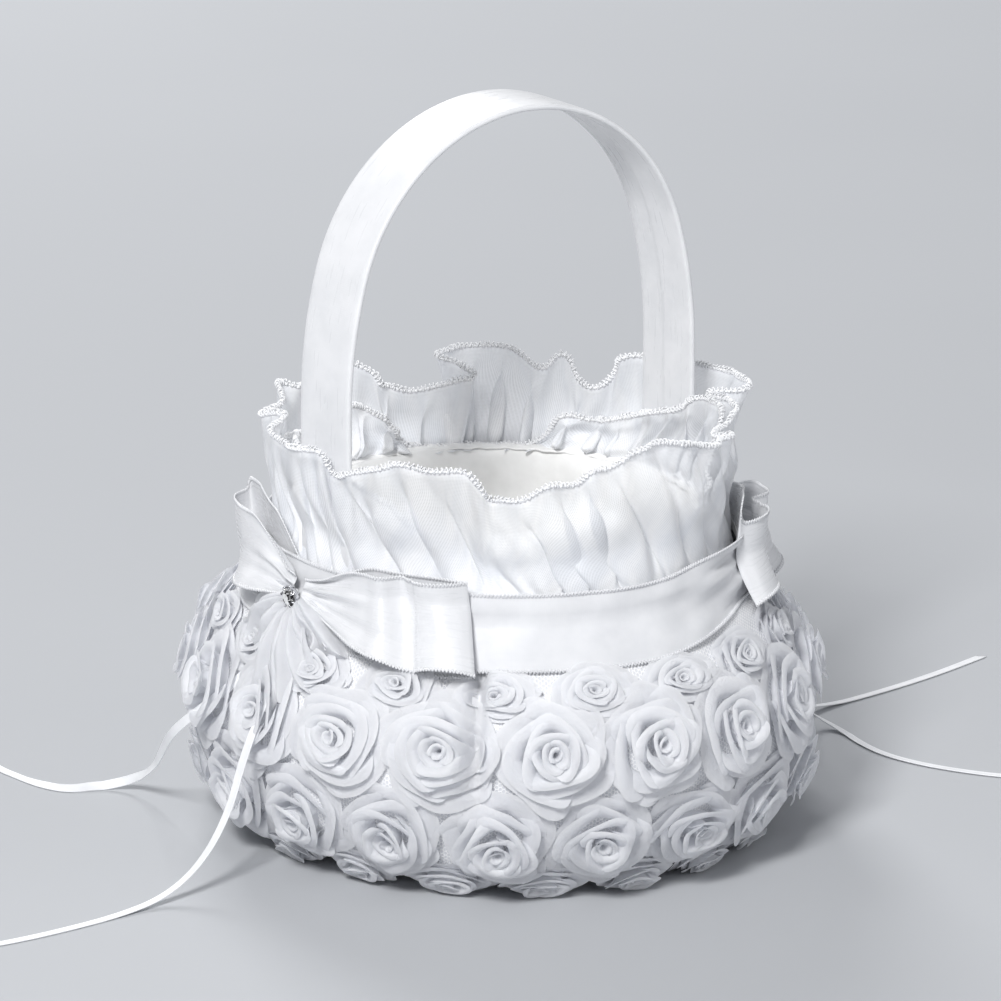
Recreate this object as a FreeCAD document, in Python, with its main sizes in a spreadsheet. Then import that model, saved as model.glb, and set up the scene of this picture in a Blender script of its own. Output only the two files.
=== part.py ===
"""Flower girl basket: an oval card drum in padded satin, wrapped in chiffon rosettes.

Frame: +Z up, origin on the floor under the middle of the base. The handle's arch lies in the XZ plane.
Every horizontal section is an oval that is longest along Y. Its size is given as the half length along Y,
and the half width along X is oval_ratio times that.
"""

import FreeCAD, Part
import math
import os

Vector = FreeCAD.Vector

# Driving dimensions, in millimetres unless the note says otherwise.
SIZES = (
    ("oval_ratio", 0.925, "half width over half length of every oval, a plain ratio"),
    ("gap", 0.3, "clearance between pieces that lie on each other"),
    ("card_thickness", 1.6, "thickness of the card drum"),
    ("wall_radius", 70.2, "outer half length of the card drum"),
    ("wall_top", 98.0, "height of the drum's upper edge above the floor"),
    ("board_thickness", 2.5, "thickness of the card bottom"),
    ("base_cover_thickness", 1.2, "thickness of the disc glued under the bottom"),
    ("base_cover_inset", 2.2, "how far that disc's edge stays inside the drum"),
    ("cover_thickness", 0.8, "thickness of the rosette fabric's tulle backing"),
    ("cover_hem", 10.0, "how far the backing is turned in under the bottom"),
    ("cover_foot", 1.3, "how far the backing's lower corner stands outside the drum"),
    ("belly_bulge", 23.5, "how far the belly stands out from the neck"),
    ("belly_height", 42.0, "height of the widest section"),
    ("neck_height", 92.0, "height of the backing's upper edge"),
    ("shoulder_fullness", 0.8, "1 gives a cosine shoulder and less a fuller one, a plain number"),
    ("stuffing_top", 86.0, "height of the stuffing's upper edge"),
    ("lining_thickness", 6.0, "thickness of the padded lining"),
    ("floor_pad_thickness", 6.5, "thickness of the padded satin floor"),
    ("rim_thickness", 1.5, "height of the bound rim on top of the drum"),
    ("rim_width", 3.6, "width of the bound rim"),
    ("rosette_radius", 14.0, "radius of a whole rosette"),
    ("rosette_height", 7.0, "how far a whole rosette stands off its backing"),
    ("rosette_spacing", 1.0, "least gap between neighbouring rosettes"),
    ("tucked_height", 4.0, "how far a gathered rosette stands off its backing"),
    ("rosette_taper", 0.62, "top radius over base radius of a rosette, a plain ratio"),
    ("lower_row_height", 22.0, "height of the lower row of whole rosettes"),
    ("row_spacing", 3.2, "what the two whole rows stand apart beyond touching"),
    ("base_row_edge", 4.0, "height of the lower edge of the row gathered into the base"),
    ("ribbon_thickness", 0.6, "thickness of the satin ribbon with its woven edge"),
    ("ribbon_low", 73.0, "height of the waist ribbon's lower edge"),
    ("ribbon_high", 93.0, "height of the waist ribbon's upper edge"),
    ("organza_thickness", 0.6, "thickness of a gathered organza frill"),
    ("frill_low", 89.0, "height of the outer frill's gathered edge"),
    ("frill_high", 127.0, "mean height of the outer frill's free edge"),
    ("frill_flare", 2.0, "how far the outer frill's free edge leans out"),
    ("inner_frill_high", 122.0, "mean height of the inner frill's free edge"),
    ("inner_frill_flare", 0.6, "how far the inner frill's free edge leans out"),
    ("edging_height", 1.8, "height of the crochet edging on a frill"),
    ("edging_thickness", 1.6, "thickness of the crochet edging"),
    ("tape_thickness", 0.5, "thickness of the gathering tape"),
    ("tape_width", 3.0, "width of the gathering tape"),
    ("handle_width", 25.0, "width of the handle band"),
    ("core_thickness", 1.1, "thickness of the strip inside the handle"),
    ("handle_wrap", 0.4, "thickness of the satin wrap on the handle"),
    ("wrap_gap", 0.05, "clearance between the strip and its wrap"),
    ("crown_height", 228.0, "height of the handle's middle surface at its crown"),
    ("crown_easing", 3.5, "how much the crown's arc is tighter than half the handle's span"),
    ("spring_height", 141.2, "height where the straight legs turn into the arch"),
    ("leg_bottom", 30.0, "height of the legs' lower ends, inside the basket"),
    ("bow_drop", 0.5, "how far a bow loop hangs below the waist ribbon"),
    ("bow_height", 25.0, "height of a bow loop at its far end"),
    ("bow_depth", 8.5, "how far a loop stands off the basket"),
    ("bow_reach", 66.0, "distance from the knot's middle to a loop's far end"),
    ("bow_fold", 0.8, "thickness of a loop's ribbon, counting its fold"),
    ("pinch_height", 8.0, "height of the bow where it is pinched"),
    ("pinch_half", 3.0, "half the length of the pinched middle"),
    ("pinch_depth", 2.0, "thickness of the pinched middle"),
    ("knot_height", 4.6, "height of the streamers' knot"),
    ("knot_depth", 3.2, "how far the streamers' knot stands off the bow"),
    ("knot_half", 4.2, "half the length of the streamers' knot"),
    ("setting_radius", 3.5, "outer radius of the rhinestone's metal cup"),
    ("setting_depth", 2.0, "depth of the rhinestone's metal cup"),
    ("setting_wall", 0.4, "wall of the metal cup"),
    ("stone_height", 84.9, "height of the rhinestone's middle"),
    ("stone_crown", 1.3, "how far the rhinestone stands out of its cup"),
    ("stone_table", 1.7, "radius of the rhinestone's flat table"),
    ("streamer_width", 3.0, "width of the narrow streamer ribbon"),
)

# The streamers' routes as (x, y, z) points in millimetres, from the knot to the cut end.
STREAMER_ROUTES = {
    "streamer_left_front": (
        (-81.0, -2.2, 75.4), (-93.0, -2.4, 65.5), (-102.4, -3.4, 53.0), (-107.5, -6.0, 39.0),
        (-111.8, -8.0, 25.0), (-120.4, -9.0, 12.2), (-133.0, -8.0, 3.6), (-149.0, -8.9, 1.7),
        (-171.0, -9.6, 1.6), (-193.0, -8.0, 1.6), (-214.0, -4.0, 1.6),
    ),
    "streamer_left_back": (
        (-81.0, 2.2, 75.4), (-91.5, 8.0, 66.0), (-98.8, 18.0, 56.0), (-101.5, 30.0, 45.0),
        (-98.0, 43.5, 33.0), (-90.5, 58.0, 21.0), (-84.0, 72.0, 10.5), (-82.4, 83.0, 4.2),
        (-90.5, 90.5, 1.7), (-100.0, 93.5, 1.6), (-104.0, 103.0, 1.6), (-105.0, 114.5, 1.6),
        (-105.6, 127.0, 1.6), (-104.0, 139.0, 1.6),
    ),
    "streamer_right_upper": (
        (81.0, 2.2, 75.4), (93.0, 2.6, 65.5), (102.4, 3.2, 53.0), (107.5, 4.6, 39.0),
        (111.8, 6.8, 25.0), (120.2, 10.0, 12.8), (132.5, 13.0, 4.0), (147.5, 14.0, 1.8),
        (166.0, 14.8, 1.6), (184.5, 16.6, 1.6), (202.0, 19.4, 1.6), (218.0, 22.9, 1.6),
    ),
    "streamer_right_lower": (
        (81.0, -2.2, 75.4), (93.0, -2.1, 65.5), (102.4, -1.5, 53.0), (107.5, 0.2, 39.0),
        (112.2, 2.4, 26.0), (120.0, 4.0, 13.4), (129.0, 1.6, 5.0), (132.4, -8.0, 1.8),
        (129.2, -20.5, 1.6), (128.0, -34.0, 1.6), (131.0, -47.5, 1.6), (136.5, -60.0, 1.6),
        (144.5, -73.0, 1.6), (154.0, -84.0, 1.6),
    ),
}
ARC_SHARE = 0.45  # of the shorter run, taken by the arc at each corner of a route
WALK_STEP = 0.05  # millimetres of height, for going along the fabric's curve
PROFILE_STEPS = 7  # sections of the belly's curve below its widest height, and as many above

doc = FreeCAD.newDocument("flower_girl_basket")
sheet = doc.addObject("Spreadsheet::Sheet", "Sizes")
for row, (alias, number, note) in enumerate(SIZES, start=1):
    sheet.set(f"A{row}", alias)
    sheet.set(f"B{row}", str(number))
    sheet.setAlias(f"B{row}", alias)
    sheet.set(f"C{row}", note)
doc.recompute()


def shoulder(height, neck, wide):
    """The half length at a height above the belly, as an expression: a cosine from wide to neck."""
    share = f"(({height} - Sizes.belly_height) / (Sizes.neck_height - Sizes.belly_height))"
    fall = f"(((1 + cos(180 deg * {share})) / 2) ^ Sizes.shoulder_fullness)"
    return f"({neck} + ({wide} - {neck}) * {fall})"


# Heights and half lengths that follow from the driving dimensions, as expressions on the sheet.
HEM_LOW = "(Sizes.base_cover_thickness + Sizes.gap)"
BOARD_LOW = f"({HEM_LOW} + Sizes.cover_thickness + Sizes.gap)"
INSIDE_LOW = f"({BOARD_LOW} + Sizes.board_thickness + Sizes.gap)"
WALL_INNER = "(Sizes.wall_radius - Sizes.card_thickness)"
LINING_OUTER = f"({WALL_INNER} - Sizes.gap)"
LINING_INNER = f"({LINING_OUTER} - Sizes.lining_thickness)"
RIM_TOP = "(Sizes.wall_top + Sizes.gap + Sizes.rim_thickness)"
HALF_HANDLE = "(Sizes.core_thickness / 2 + Sizes.wrap_gap + Sizes.handle_wrap)"
HALF_SPAN = f"(Sizes.wall_radius * Sizes.oval_ratio + Sizes.gap + {HALF_HANDLE})"
LEG_OUTSIDE = f"({HALF_SPAN} + {HALF_HANDLE})"
# A flat leg's corners stand this much further out than its middle, measured on the oval.
LEG_CORNER_ROOM = "(Sizes.handle_width ^ 2 / (8 * Sizes.wall_radius))"
LEG_ROOM = f"(({LEG_OUTSIDE} + Sizes.gap) / Sizes.oval_ratio + {LEG_CORNER_ROOM})"
NECK = f"({LEG_ROOM} + Sizes.cover_thickness)"
BELLY = f"({NECK} + Sizes.belly_bulge)"
FOOT = "(Sizes.wall_radius + Sizes.cover_foot)"
FRILL_FOOT = f"({shoulder('Sizes.frill_low', NECK, BELLY)} + Sizes.gap)"
FRILL_HEAD = f"({FRILL_FOOT} + Sizes.frill_flare)"
INNER_FRILL_FOOT = f"({WALL_INNER} - Sizes.gap)"
INNER_FRILL_HEAD = f"({INNER_FRILL_FOOT} + Sizes.inner_frill_flare)"
TAPE_INNER = f"({FRILL_FOOT} + Sizes.organza_thickness + Sizes.gap)"
RIBBON_FOOT = f"({shoulder('Sizes.ribbon_low', NECK, BELLY)} + Sizes.gap)"
RIBBON_HEAD = f"({TAPE_INNER} + Sizes.tape_thickness + Sizes.gap)"
RIBBON_TILT = f"(({RIBBON_FOOT} - {RIBBON_HEAD}) / (Sizes.ribbon_high - Sizes.ribbon_low))"
BOW_LOW = "(Sizes.ribbon_low - Sizes.bow_drop)"
BOW_HIGH = f"({BOW_LOW} + Sizes.bow_height)"
BOW_MIDDLE = f"({BOW_LOW} + Sizes.bow_height / 2)"
BOW_FOOT = f"({RIBBON_FOOT} + Sizes.ribbon_thickness + 2 * Sizes.gap)"
# The ribbon's outside where the bow's upper edge lies on it, or at its own upper edge if the bow is higher.
RIBBON_AT_BOW = f"({RIBBON_FOOT} - {RIBBON_TILT} * (min({BOW_HIGH}; Sizes.ribbon_high) - Sizes.ribbon_low))"
BOW_HEAD = f"({RIBBON_AT_BOW} + Sizes.ribbon_thickness + Sizes.gap)"
PINCH_LOW = f"({BOW_MIDDLE} - Sizes.pinch_height / 2)"
# Along X: the ribbon's outside at the pinch's lower edge, and what lies on it there.
RIBBON_AT_PINCH = f"({RIBBON_FOOT} - {RIBBON_TILT} * ({PINCH_LOW} - Sizes.ribbon_low))"
PINCH_IN = f"(({RIBBON_AT_PINCH} + Sizes.ribbon_thickness) * Sizes.oval_ratio + Sizes.gap)"
PINCH_OUT = f"({PINCH_IN} + Sizes.pinch_depth)"
SEAT = f"({PINCH_OUT} + Sizes.gap)"
KNOT_HIGH = "(Sizes.stone_height - Sizes.setting_radius - Sizes.gap)"


def value(expression):
    """The number that an expression on the sheet gives."""
    return float(sheet.evalExpression(expression))


def add(kind, name, **expressions):
    """A document object with its properties bound to expressions."""
    made = doc.addObject(kind, name)
    for prop, expression in expressions.items():
        made.setExpression(prop.replace("__", "."), expression)
    return made


def combine(kind, name, base, tool):
    """A cut, fuse or common of two objects."""
    made = doc.addObject(kind, name)
    made.Base = base
    made.Tool = tool
    return made


def oval(name, height, half_length):
    """A horizontal ellipse, longest along Y."""
    made = add(
        "Part::Ellipse",
        name,
        MajorRadius=half_length,
        MinorRadius=f"{half_length} * Sizes.oval_ratio",
        Placement__Base__z=height,
    )
    made.Placement = FreeCAD.Placement(Vector(0, 0, 0), FreeCAD.Rotation(Vector(0, 0, 1), 90))
    return made


def oval_stack(name, sections, smooth=False):
    """A solid through ovals, given as (height, half length) expressions from the bottom up."""
    made = doc.addObject("Part::Loft", name)
    made.Sections = [oval(f"{name}_oval_{i}", *section) for i, section in enumerate(sections)]
    made.Solid = True
    made.Ruled = not smooth
    return made


def oval_ring(name, low, high, inner_low, inner_high, thickness):
    """A ring between two heights, whose inner half length goes from inner_low to inner_high."""
    outer = oval_stack(
        f"{name}_outside",
        [(low, f"({inner_low} + {thickness})"), (high, f"({inner_high} + {thickness})")],
    )
    inner = oval_stack(f"{name}_inside", [(low, inner_low), (high, inner_high)])
    return combine("Part::Cut", name, outer, inner)


def belly_sections(inset, top):
    """Sections of the rosette fabric's curve, moved inward by the expression inset and cut off at top.

    Below the belly it is a quarter of an ellipse, and above it a cosine that ends at the neck.
    """
    low, belly = f"({HEM_LOW} + {inset})", "Sizes.belly_height"
    foot, wide, neck = f"({FOOT} - {inset})", f"({BELLY} - {inset})", f"({NECK} - {inset})"
    sections = []
    for step in range(PROFILE_STEPS + 1):
        turn = math.pi / 2 * step / PROFILE_STEPS
        rise, out = 1 - math.cos(turn), math.sin(turn)
        sections.append(
            (f"{low} + ({belly} - {low}) * {rise:.6f}", f"({foot} + ({wide} - {foot}) * {out:.6f})")
        )
    for step in range(1, PROFILE_STEPS + 1):
        height = f"({belly} + ({top} - {belly}) * {step / PROFILE_STEPS:.6f})"
        sections.append((height, shoulder(height, neck, wide)))
    return sections


def cover_half_length(height):
    """The half length of the rosette fabric's outside at a height, as belly_sections draws it."""
    low, belly = value(HEM_LOW), value("Sizes.belly_height")
    foot, wide, neck = value(FOOT), value(BELLY), value(NECK)
    if height < belly:
        rise = (height - low) / (belly - low)
        return foot + (wide - foot) * math.sqrt(1 - (1 - rise) ** 2)
    share = (height - belly) / (value("Sizes.neck_height") - belly)
    fall = ((1 + math.cos(math.pi * share)) / 2) ** value("Sizes.shoulder_fullness")
    return neck + (wide - neck) * fall


def mirrored(name, source, normal):
    """A copy of an object on the other side of the plane through the origin."""
    made = doc.addObject("Part::Mirroring", name)
    made.Source = source
    made.Normal = normal
    return made


# --- Bottom and drum -------------------------------------------------------------------------


def make_base_cover():
    edge = "(Sizes.wall_radius - Sizes.base_cover_inset)"
    return oval_stack("base_cover", [("0", edge), ("Sizes.base_cover_thickness", edge)])


def make_base_board():
    top = f"({BOARD_LOW} + Sizes.board_thickness)"
    return oval_stack("base_board", [(BOARD_LOW, "Sizes.wall_radius"), (top, "Sizes.wall_radius")])


def make_wall_ring():
    return oval_ring(
        "wall_ring", INSIDE_LOW, "Sizes.wall_top", WALL_INNER, WALL_INNER, "Sizes.card_thickness"
    )


def make_rim_binding():
    low = "(Sizes.wall_top + Sizes.gap)"
    inner = "(Sizes.wall_radius - Sizes.rim_width)"
    return oval_ring("rim_binding", low, RIM_TOP, inner, inner, "Sizes.rim_width")


def make_lining_wall():
    return oval_ring(
        "lining_wall", INSIDE_LOW, "Sizes.wall_top", LINING_INNER, LINING_INNER,
        "Sizes.lining_thickness",
    )


def make_lining_floor_pad():
    edge = f"({LINING_INNER} - Sizes.gap)"
    top = f"({INSIDE_LOW} + Sizes.floor_pad_thickness)"
    return oval_stack("lining_floor_pad", [(INSIDE_LOW, edge), (top, edge)])


# --- Rosette fabric and its stuffing -----------------------------------------------------------


def make_rosette_backing():
    outside = oval_stack(
        "backing_outside", belly_sections("0", "Sizes.neck_height"), smooth=True
    )
    inside = oval_stack(
        "backing_inside", belly_sections("Sizes.cover_thickness", "Sizes.neck_height"), smooth=True
    )
    shell = combine("Part::Cut", "backing_shell", outside, inside)
    hole_edge = "(Sizes.wall_radius - Sizes.cover_hem)"
    hole = oval_stack("backing_hole", [("0", hole_edge), (BOARD_LOW, hole_edge)])
    return combine("Part::Cut", "rosette_backing", shell, hole)


def make_stuffing():
    inset = "(Sizes.cover_thickness + Sizes.gap)"
    outside = oval_stack(
        "stuffing_outside", belly_sections(inset, "Sizes.stuffing_top"), smooth=True
    )
    bore = "(Sizes.wall_radius + Sizes.gap)"
    drum = oval_stack("stuffing_bore", [("0", bore), ("Sizes.neck_height", bore)])
    ring = combine("Part::Cut", "stuffing_solid", outside, drum)
    length = f"2 * ({LEG_OUTSIDE} + Sizes.gap)"
    width = "(Sizes.handle_width + 2 * Sizes.gap)"
    legs = add(
        "Part::Box", "leg_slot",
        Length=length,
        Width=width,
        Height="Sizes.neck_height - Sizes.leg_bottom + Sizes.gap",
        Placement__Base__x=f"-({LEG_OUTSIDE} + Sizes.gap)",
        Placement__Base__y=f"-{width} / 2",
        Placement__Base__z="Sizes.leg_bottom - Sizes.gap",
    )
    return combine("Part::Cut", "stuffing", ring, legs)


def profile_length(low, high):
    """The length of the rosette fabric's curve between two heights."""
    steps = max(1, round((high - low) / WALK_STEP))
    heights = [low + (high - low) * i / steps for i in range(steps + 1)]
    halves = [cover_half_length(height) for height in heights]
    return sum(
        math.hypot(heights[i + 1] - heights[i], halves[i + 1] - halves[i]) for i in range(steps)
    )


def walk(height, distance):
    """The height reached from a height by going along the fabric's curve, up if distance is positive."""
    step = math.copysign(WALK_STEP, distance)
    walked = 0.0
    while walked < abs(distance):
        rise = cover_half_length(height + step) - cover_half_length(height)
        walked += math.hypot(step, rise)
        height += step
    return height


def whole_rows():
    """The heights of the two whole rows, and how many rosettes each row holds.

    The rows are staggered, so they are nearer to each other than two rosettes side by side. The
    number is even, so that the rows are symmetric.
    """
    pitch = 2 * value("Sizes.rosette_radius") + value("Sizes.rosette_spacing")
    lower = value("Sizes.lower_row_height")
    upper = walk(lower, math.sqrt(3) / 2 * pitch + value("Sizes.row_spacing"))
    narrow = min(cover_half_length(lower), cover_half_length(upper)) * value("Sizes.oval_ratio")
    return lower, upper, 2 * int(math.pi * narrow / pitch)


def tucked_row(whole, edge, count):
    """Height and radius of the largest rosettes that fit between a whole row and a seam's edge.

    Each lies below or above the gap between two whole ones.
    """
    room = profile_length(min(whole, edge), max(whole, edge))
    narrow = min(cover_half_length(whole), cover_half_length(edge)) * value("Sizes.oval_ratio")
    half_pitch = math.pi * narrow / count
    reach = value("Sizes.rosette_radius") + value("Sizes.rosette_spacing")
    radius = (half_pitch**2 + room**2 - reach**2) / (2 * (reach + room))
    return walk(edge, math.copysign(radius, whole - edge)), radius


def make_rosette_row(name, height, count, radius, depth, turned):
    """A ring of rosettes that sit on the backing; turned shifts the row by half a step."""
    ratio = value("Sizes.oval_ratio")
    half = cover_half_length(height)
    rise = cover_half_length(height + WALK_STEP) - cover_half_length(height - WALK_STEP)
    slope = rise / (2 * WALK_STEP)
    blooms = []
    for i in range(count):
        turn = 2 * math.pi * (i + (0.5 if turned else 0)) / count
        x, y = half * ratio * math.cos(turn), half * math.sin(turn)
        normal = Vector(half * math.cos(turn), half * ratio * math.sin(turn), -slope * half * ratio)
        normal.normalize()
        bloom = add(
            "Part::Cone", f"{name}_{i}",
            Radius1=radius,
            Radius2=f"{radius} * Sizes.rosette_taper",
            Height=depth,
        )
        seat = Vector(x, y, height) + normal * value("Sizes.gap")
        bloom.Placement = FreeCAD.Placement(seat, FreeCAD.Rotation(Vector(0, 0, 1), normal))
        blooms.append(bloom)
    row = doc.addObject("Part::Compound", name)
    row.Links = blooms
    return row


def make_rosettes():
    lower, upper, count = whole_rows()
    waist, waist_radius = tucked_row(upper, value(f"({BOW_LOW} - Sizes.gap)"), count)
    base, base_radius = tucked_row(lower, value("Sizes.base_row_edge"), count)
    whole = (count, "Sizes.rosette_radius", "Sizes.rosette_height")
    return [
        make_rosette_row(
            "rosettes_waist_row", waist, count, f"{waist_radius:.3f}", "Sizes.tucked_height", True
        ),
        make_rosette_row("rosettes_upper_row", upper, *whole, False),
        make_rosette_row("rosettes_lower_row", lower, *whole, True),
        make_rosette_row(
            "rosettes_base_row", base, count, f"{base_radius:.3f}", "Sizes.tucked_height", False
        ),
    ]


# --- Waist ribbon and frills -------------------------------------------------------------------


def make_waist_ribbon():
    return oval_ring(
        "waist_ribbon", "Sizes.ribbon_low", "Sizes.ribbon_high", RIBBON_FOOT, RIBBON_HEAD,
        "Sizes.ribbon_thickness",
    )


def make_gathering_tape():
    low = "(Sizes.frill_low + Sizes.gap)"
    high = f"({low} + Sizes.tape_width)"
    return oval_ring("gathering_tape", low, high, TAPE_INNER, TAPE_INNER, "Sizes.tape_thickness")


def make_edging(name, frill_top, frill_head):
    """The crochet edging that stands on a frill's free edge."""
    low = f"({frill_top} + Sizes.gap)"
    inner = f"({frill_head} + (Sizes.organza_thickness - Sizes.edging_thickness) / 2)"
    high = f"({low} + Sizes.edging_height)"
    return oval_ring(name, low, high, inner, inner, "Sizes.edging_thickness")


def make_frills():
    frill = "Sizes.organza_thickness"
    inner_low, inner_high = f"({RIM_TOP} + Sizes.gap)", "Sizes.inner_frill_high"
    return [
        oval_ring(
            "outer_frill", "Sizes.frill_low", "Sizes.frill_high", FRILL_FOOT, FRILL_HEAD, frill
        ),
        make_edging("outer_frill_edging", "Sizes.frill_high", FRILL_HEAD),
        oval_ring("inner_frill", inner_low, inner_high, INNER_FRILL_FOOT, INNER_FRILL_HEAD, frill),
        make_edging("inner_frill_edging", inner_high, INNER_FRILL_HEAD),
    ]


# --- Handle ------------------------------------------------------------------------------------


def to_left(point):
    """The same point on the handle's left half."""
    return Vector(-point.x, point.y, point.z)


def arch_line(moved):
    """Points of the right half of the handle's middle line, moved outward, from foot to crown.

    The half is a straight leg, a wide side arc and half of the tighter crown arc, all tangent.
    """
    half_span, spring = value(HALF_SPAN), value("Sizes.spring_height")
    crown_radius = half_span - value("Sizes.crown_easing")
    crown_centre = value("Sizes.crown_height") - crown_radius
    rise = crown_centre - spring
    side_radius = (half_span**2 + rise**2 - crown_radius**2) / (2 * (half_span - crown_radius))
    side_centre = half_span - side_radius
    lean = math.atan2(rise, -side_centre)
    side, crown = side_radius + moved, crown_radius + moved
    foot = Vector(half_span + moved, 0, value("Sizes.leg_bottom"))
    knee = Vector(half_span + moved, 0, spring)
    flank = Vector(side_centre + side * math.cos(lean / 2), 0, spring + side * math.sin(lean / 2))
    joint = Vector(crown * math.cos(lean), 0, crown_centre + crown * math.sin(lean))
    top = Vector(0, 0, crown_centre + crown)
    return foot, knee, flank, joint, top


def arch_edges(moved):
    """The whole line as edges, from the right foot to the left."""
    foot, knee, flank, joint, top = arch_line(moved)
    return [
        Part.LineSegment(foot, knee).toShape(),
        Part.Arc(knee, flank, joint).toShape(),
        Part.Arc(joint, top, to_left(joint)).toShape(),
        Part.Arc(to_left(joint), to_left(flank), to_left(knee)).toShape(),
        Part.LineSegment(to_left(knee), to_left(foot)).toShape(),
    ]


def arch_face(offset):
    """The face between the handle's middle line moved out and moved in, in the XZ plane."""
    outer, inner = arch_line(offset)[0], arch_line(-offset)[0]
    ends = [
        Part.LineSegment(to_left(outer), to_left(inner)).toShape(),
        Part.LineSegment(inner, outer).toShape(),
    ]
    edges = arch_edges(offset) + arch_edges(-offset) + ends
    return Part.Face(Part.Wire(Part.__sortEdges__(edges)))


def arch_band(name, offset, width):
    """The arch face drawn out along Y to a width, evenly to both sides."""
    face = doc.addObject("Part::Feature", f"{name}_face")
    face.Shape = arch_face(offset)
    band = add("Part::Extrusion", name, LengthFwd=width)
    band.Base = face
    band.DirMode = "Custom"
    band.Dir = Vector(0, 1, 0)
    band.Symmetric = True
    band.Solid = True
    return band


def make_handle():
    half_core = value("Sizes.core_thickness") / 2
    half_bore = half_core + value("Sizes.wrap_gap")
    core_width = "(Sizes.handle_width - 2 * Sizes.handle_wrap - 2 * Sizes.wrap_gap)"
    bore_width = "(Sizes.handle_width - 2 * Sizes.handle_wrap)"
    core = arch_band("handle_core", half_core, core_width)
    outside = arch_band("wrap_outside", value(HALF_HANDLE), "Sizes.handle_width")
    bore = arch_band("wrap_bore", half_bore, bore_width)
    return [core, combine("Part::Cut", "handle_wrap_satin", outside, bore)]


# --- Bows, stones and streamers ----------------------------------------------------------------


def loop_wedge(name, shrink, grow):
    """A block that widens from the pinch to a loop's far end along +Y.

    shrink draws in its two ends and its outer face, and grow lengthens it up and down.
    """
    return add(
        "Part::Wedge", name,
        Ymin=f"Sizes.pinch_half + {shrink}",
        Ymax=f"Sizes.bow_reach - {shrink}",
        Xmin=f"{PINCH_IN} / 2",
        Xmax=f"{PINCH_OUT} - {shrink}",
        X2min="0",
        X2max=f"{PINCH_OUT} + Sizes.bow_depth * 1.5 - {shrink}",
        Zmin=f"{PINCH_LOW} - {grow}",
        Zmax=f"{PINCH_LOW} + Sizes.pinch_height + {grow}",
        Z2min=f"{BOW_LOW} - {grow}",
        Z2max=f"{BOW_HIGH} + {grow}",
    )


def loop_band(name, inset):
    """The space around the basket that a bow loop fills, thinned by inset on both faces."""
    lean = f"(({BOW_FOOT} - {BOW_HEAD}) / Sizes.bow_height)"
    spare = "Sizes.bow_depth"
    return oval_ring(
        name,
        f"({BOW_LOW} - {spare})",
        f"({BOW_HIGH} + {spare})",
        f"({BOW_FOOT} + {lean} * {spare} + {inset})",
        f"({BOW_HEAD} - {lean} * {spare} + {inset})",
        f"(Sizes.bow_depth - 2 * {inset})",
    )


def make_right_bow():
    """Two flat loops of one ribbon, pinched in the middle, on the +X side."""
    block = combine(
        "Part::Common", "loop_block", loop_band("loop_space", "0"), loop_wedge("loop_cut", "0", "0")
    )
    hollow = combine(
        "Part::Common", "loop_hollow",
        loop_band("loop_air", "Sizes.bow_fold"),
        loop_wedge("loop_air_cut", "Sizes.bow_fold", "Sizes.bow_fold"),
    )
    back_loop = combine("Part::Cut", "back_loop", block, hollow)
    front_loop = mirrored("front_loop", back_loop, Vector(0, 1, 0))
    overlap = "Sizes.bow_fold / 2"
    pinch = add(
        "Part::Box", "pinch",
        Length="Sizes.pinch_depth",
        Width=f"2 * (Sizes.pinch_half + {overlap})",
        Height="Sizes.pinch_height",
        Placement__Base__x=PINCH_IN,
        Placement__Base__y=f"-(Sizes.pinch_half + {overlap})",
        Placement__Base__z=PINCH_LOW,
    )
    bow = doc.addObject("Part::MultiFuse", "bow_right")
    bow.Shapes = [back_loop, front_loop, pinch]
    return bow


def make_right_knot():
    """The knot of the two streamers, under the stone."""
    return add(
        "Part::Box", "streamer_knot_right",
        Length="Sizes.knot_depth",
        Width="2 * Sizes.knot_half",
        Height="Sizes.knot_height",
        Placement__Base__x=SEAT,
        Placement__Base__y="-Sizes.knot_half",
        Placement__Base__z=f"{KNOT_HIGH} - Sizes.knot_height",
    )


def facing_right(name, kind, start, **expressions):
    """A round solid whose axis points along +X from the expression start."""
    made = add(
        kind, name, Placement__Base__x=start, Placement__Base__z="Sizes.stone_height", **expressions
    )
    made.Placement = FreeCAD.Placement(Vector(0, 0, 0), FreeCAD.Rotation(Vector(0, 1, 0), 90))
    return made


def make_right_stone():
    """A faceted stone in a metal cup."""
    bore = "(Sizes.setting_radius - Sizes.setting_wall)"
    cup = facing_right(
        "setting_cup", "Part::Cylinder", SEAT, Radius="Sizes.setting_radius", Height="Sizes.setting_depth"
    )
    recess = facing_right(
        "setting_recess", "Part::Cone", f"{SEAT} + Sizes.setting_wall",
        Radius1="Sizes.setting_wall",
        Radius2=bore,
        Height="Sizes.setting_depth - Sizes.setting_wall",
    )
    setting = combine("Part::Cut", "stone_setting_right", cup, recess)
    seat_gap = "(Sizes.wrap_gap * 2)"
    pavilion = facing_right(
        "stone_pavilion", "Part::Cone", f"{SEAT} + Sizes.setting_wall + {seat_gap}",
        Radius1="Sizes.setting_wall / 2",
        Radius2=f"{bore} - {seat_gap}",
        Height="Sizes.setting_depth - Sizes.setting_wall",
    )
    crown = facing_right(
        "stone_crown_part", "Part::Cone", f"{SEAT} + Sizes.setting_depth + {seat_gap}",
        Radius1=f"{bore} - {seat_gap}",
        Radius2="Sizes.stone_table",
        Height="Sizes.stone_crown",
    )
    return setting, combine("Part::Fuse", "rhinestone_right", pavilion, crown)


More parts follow.
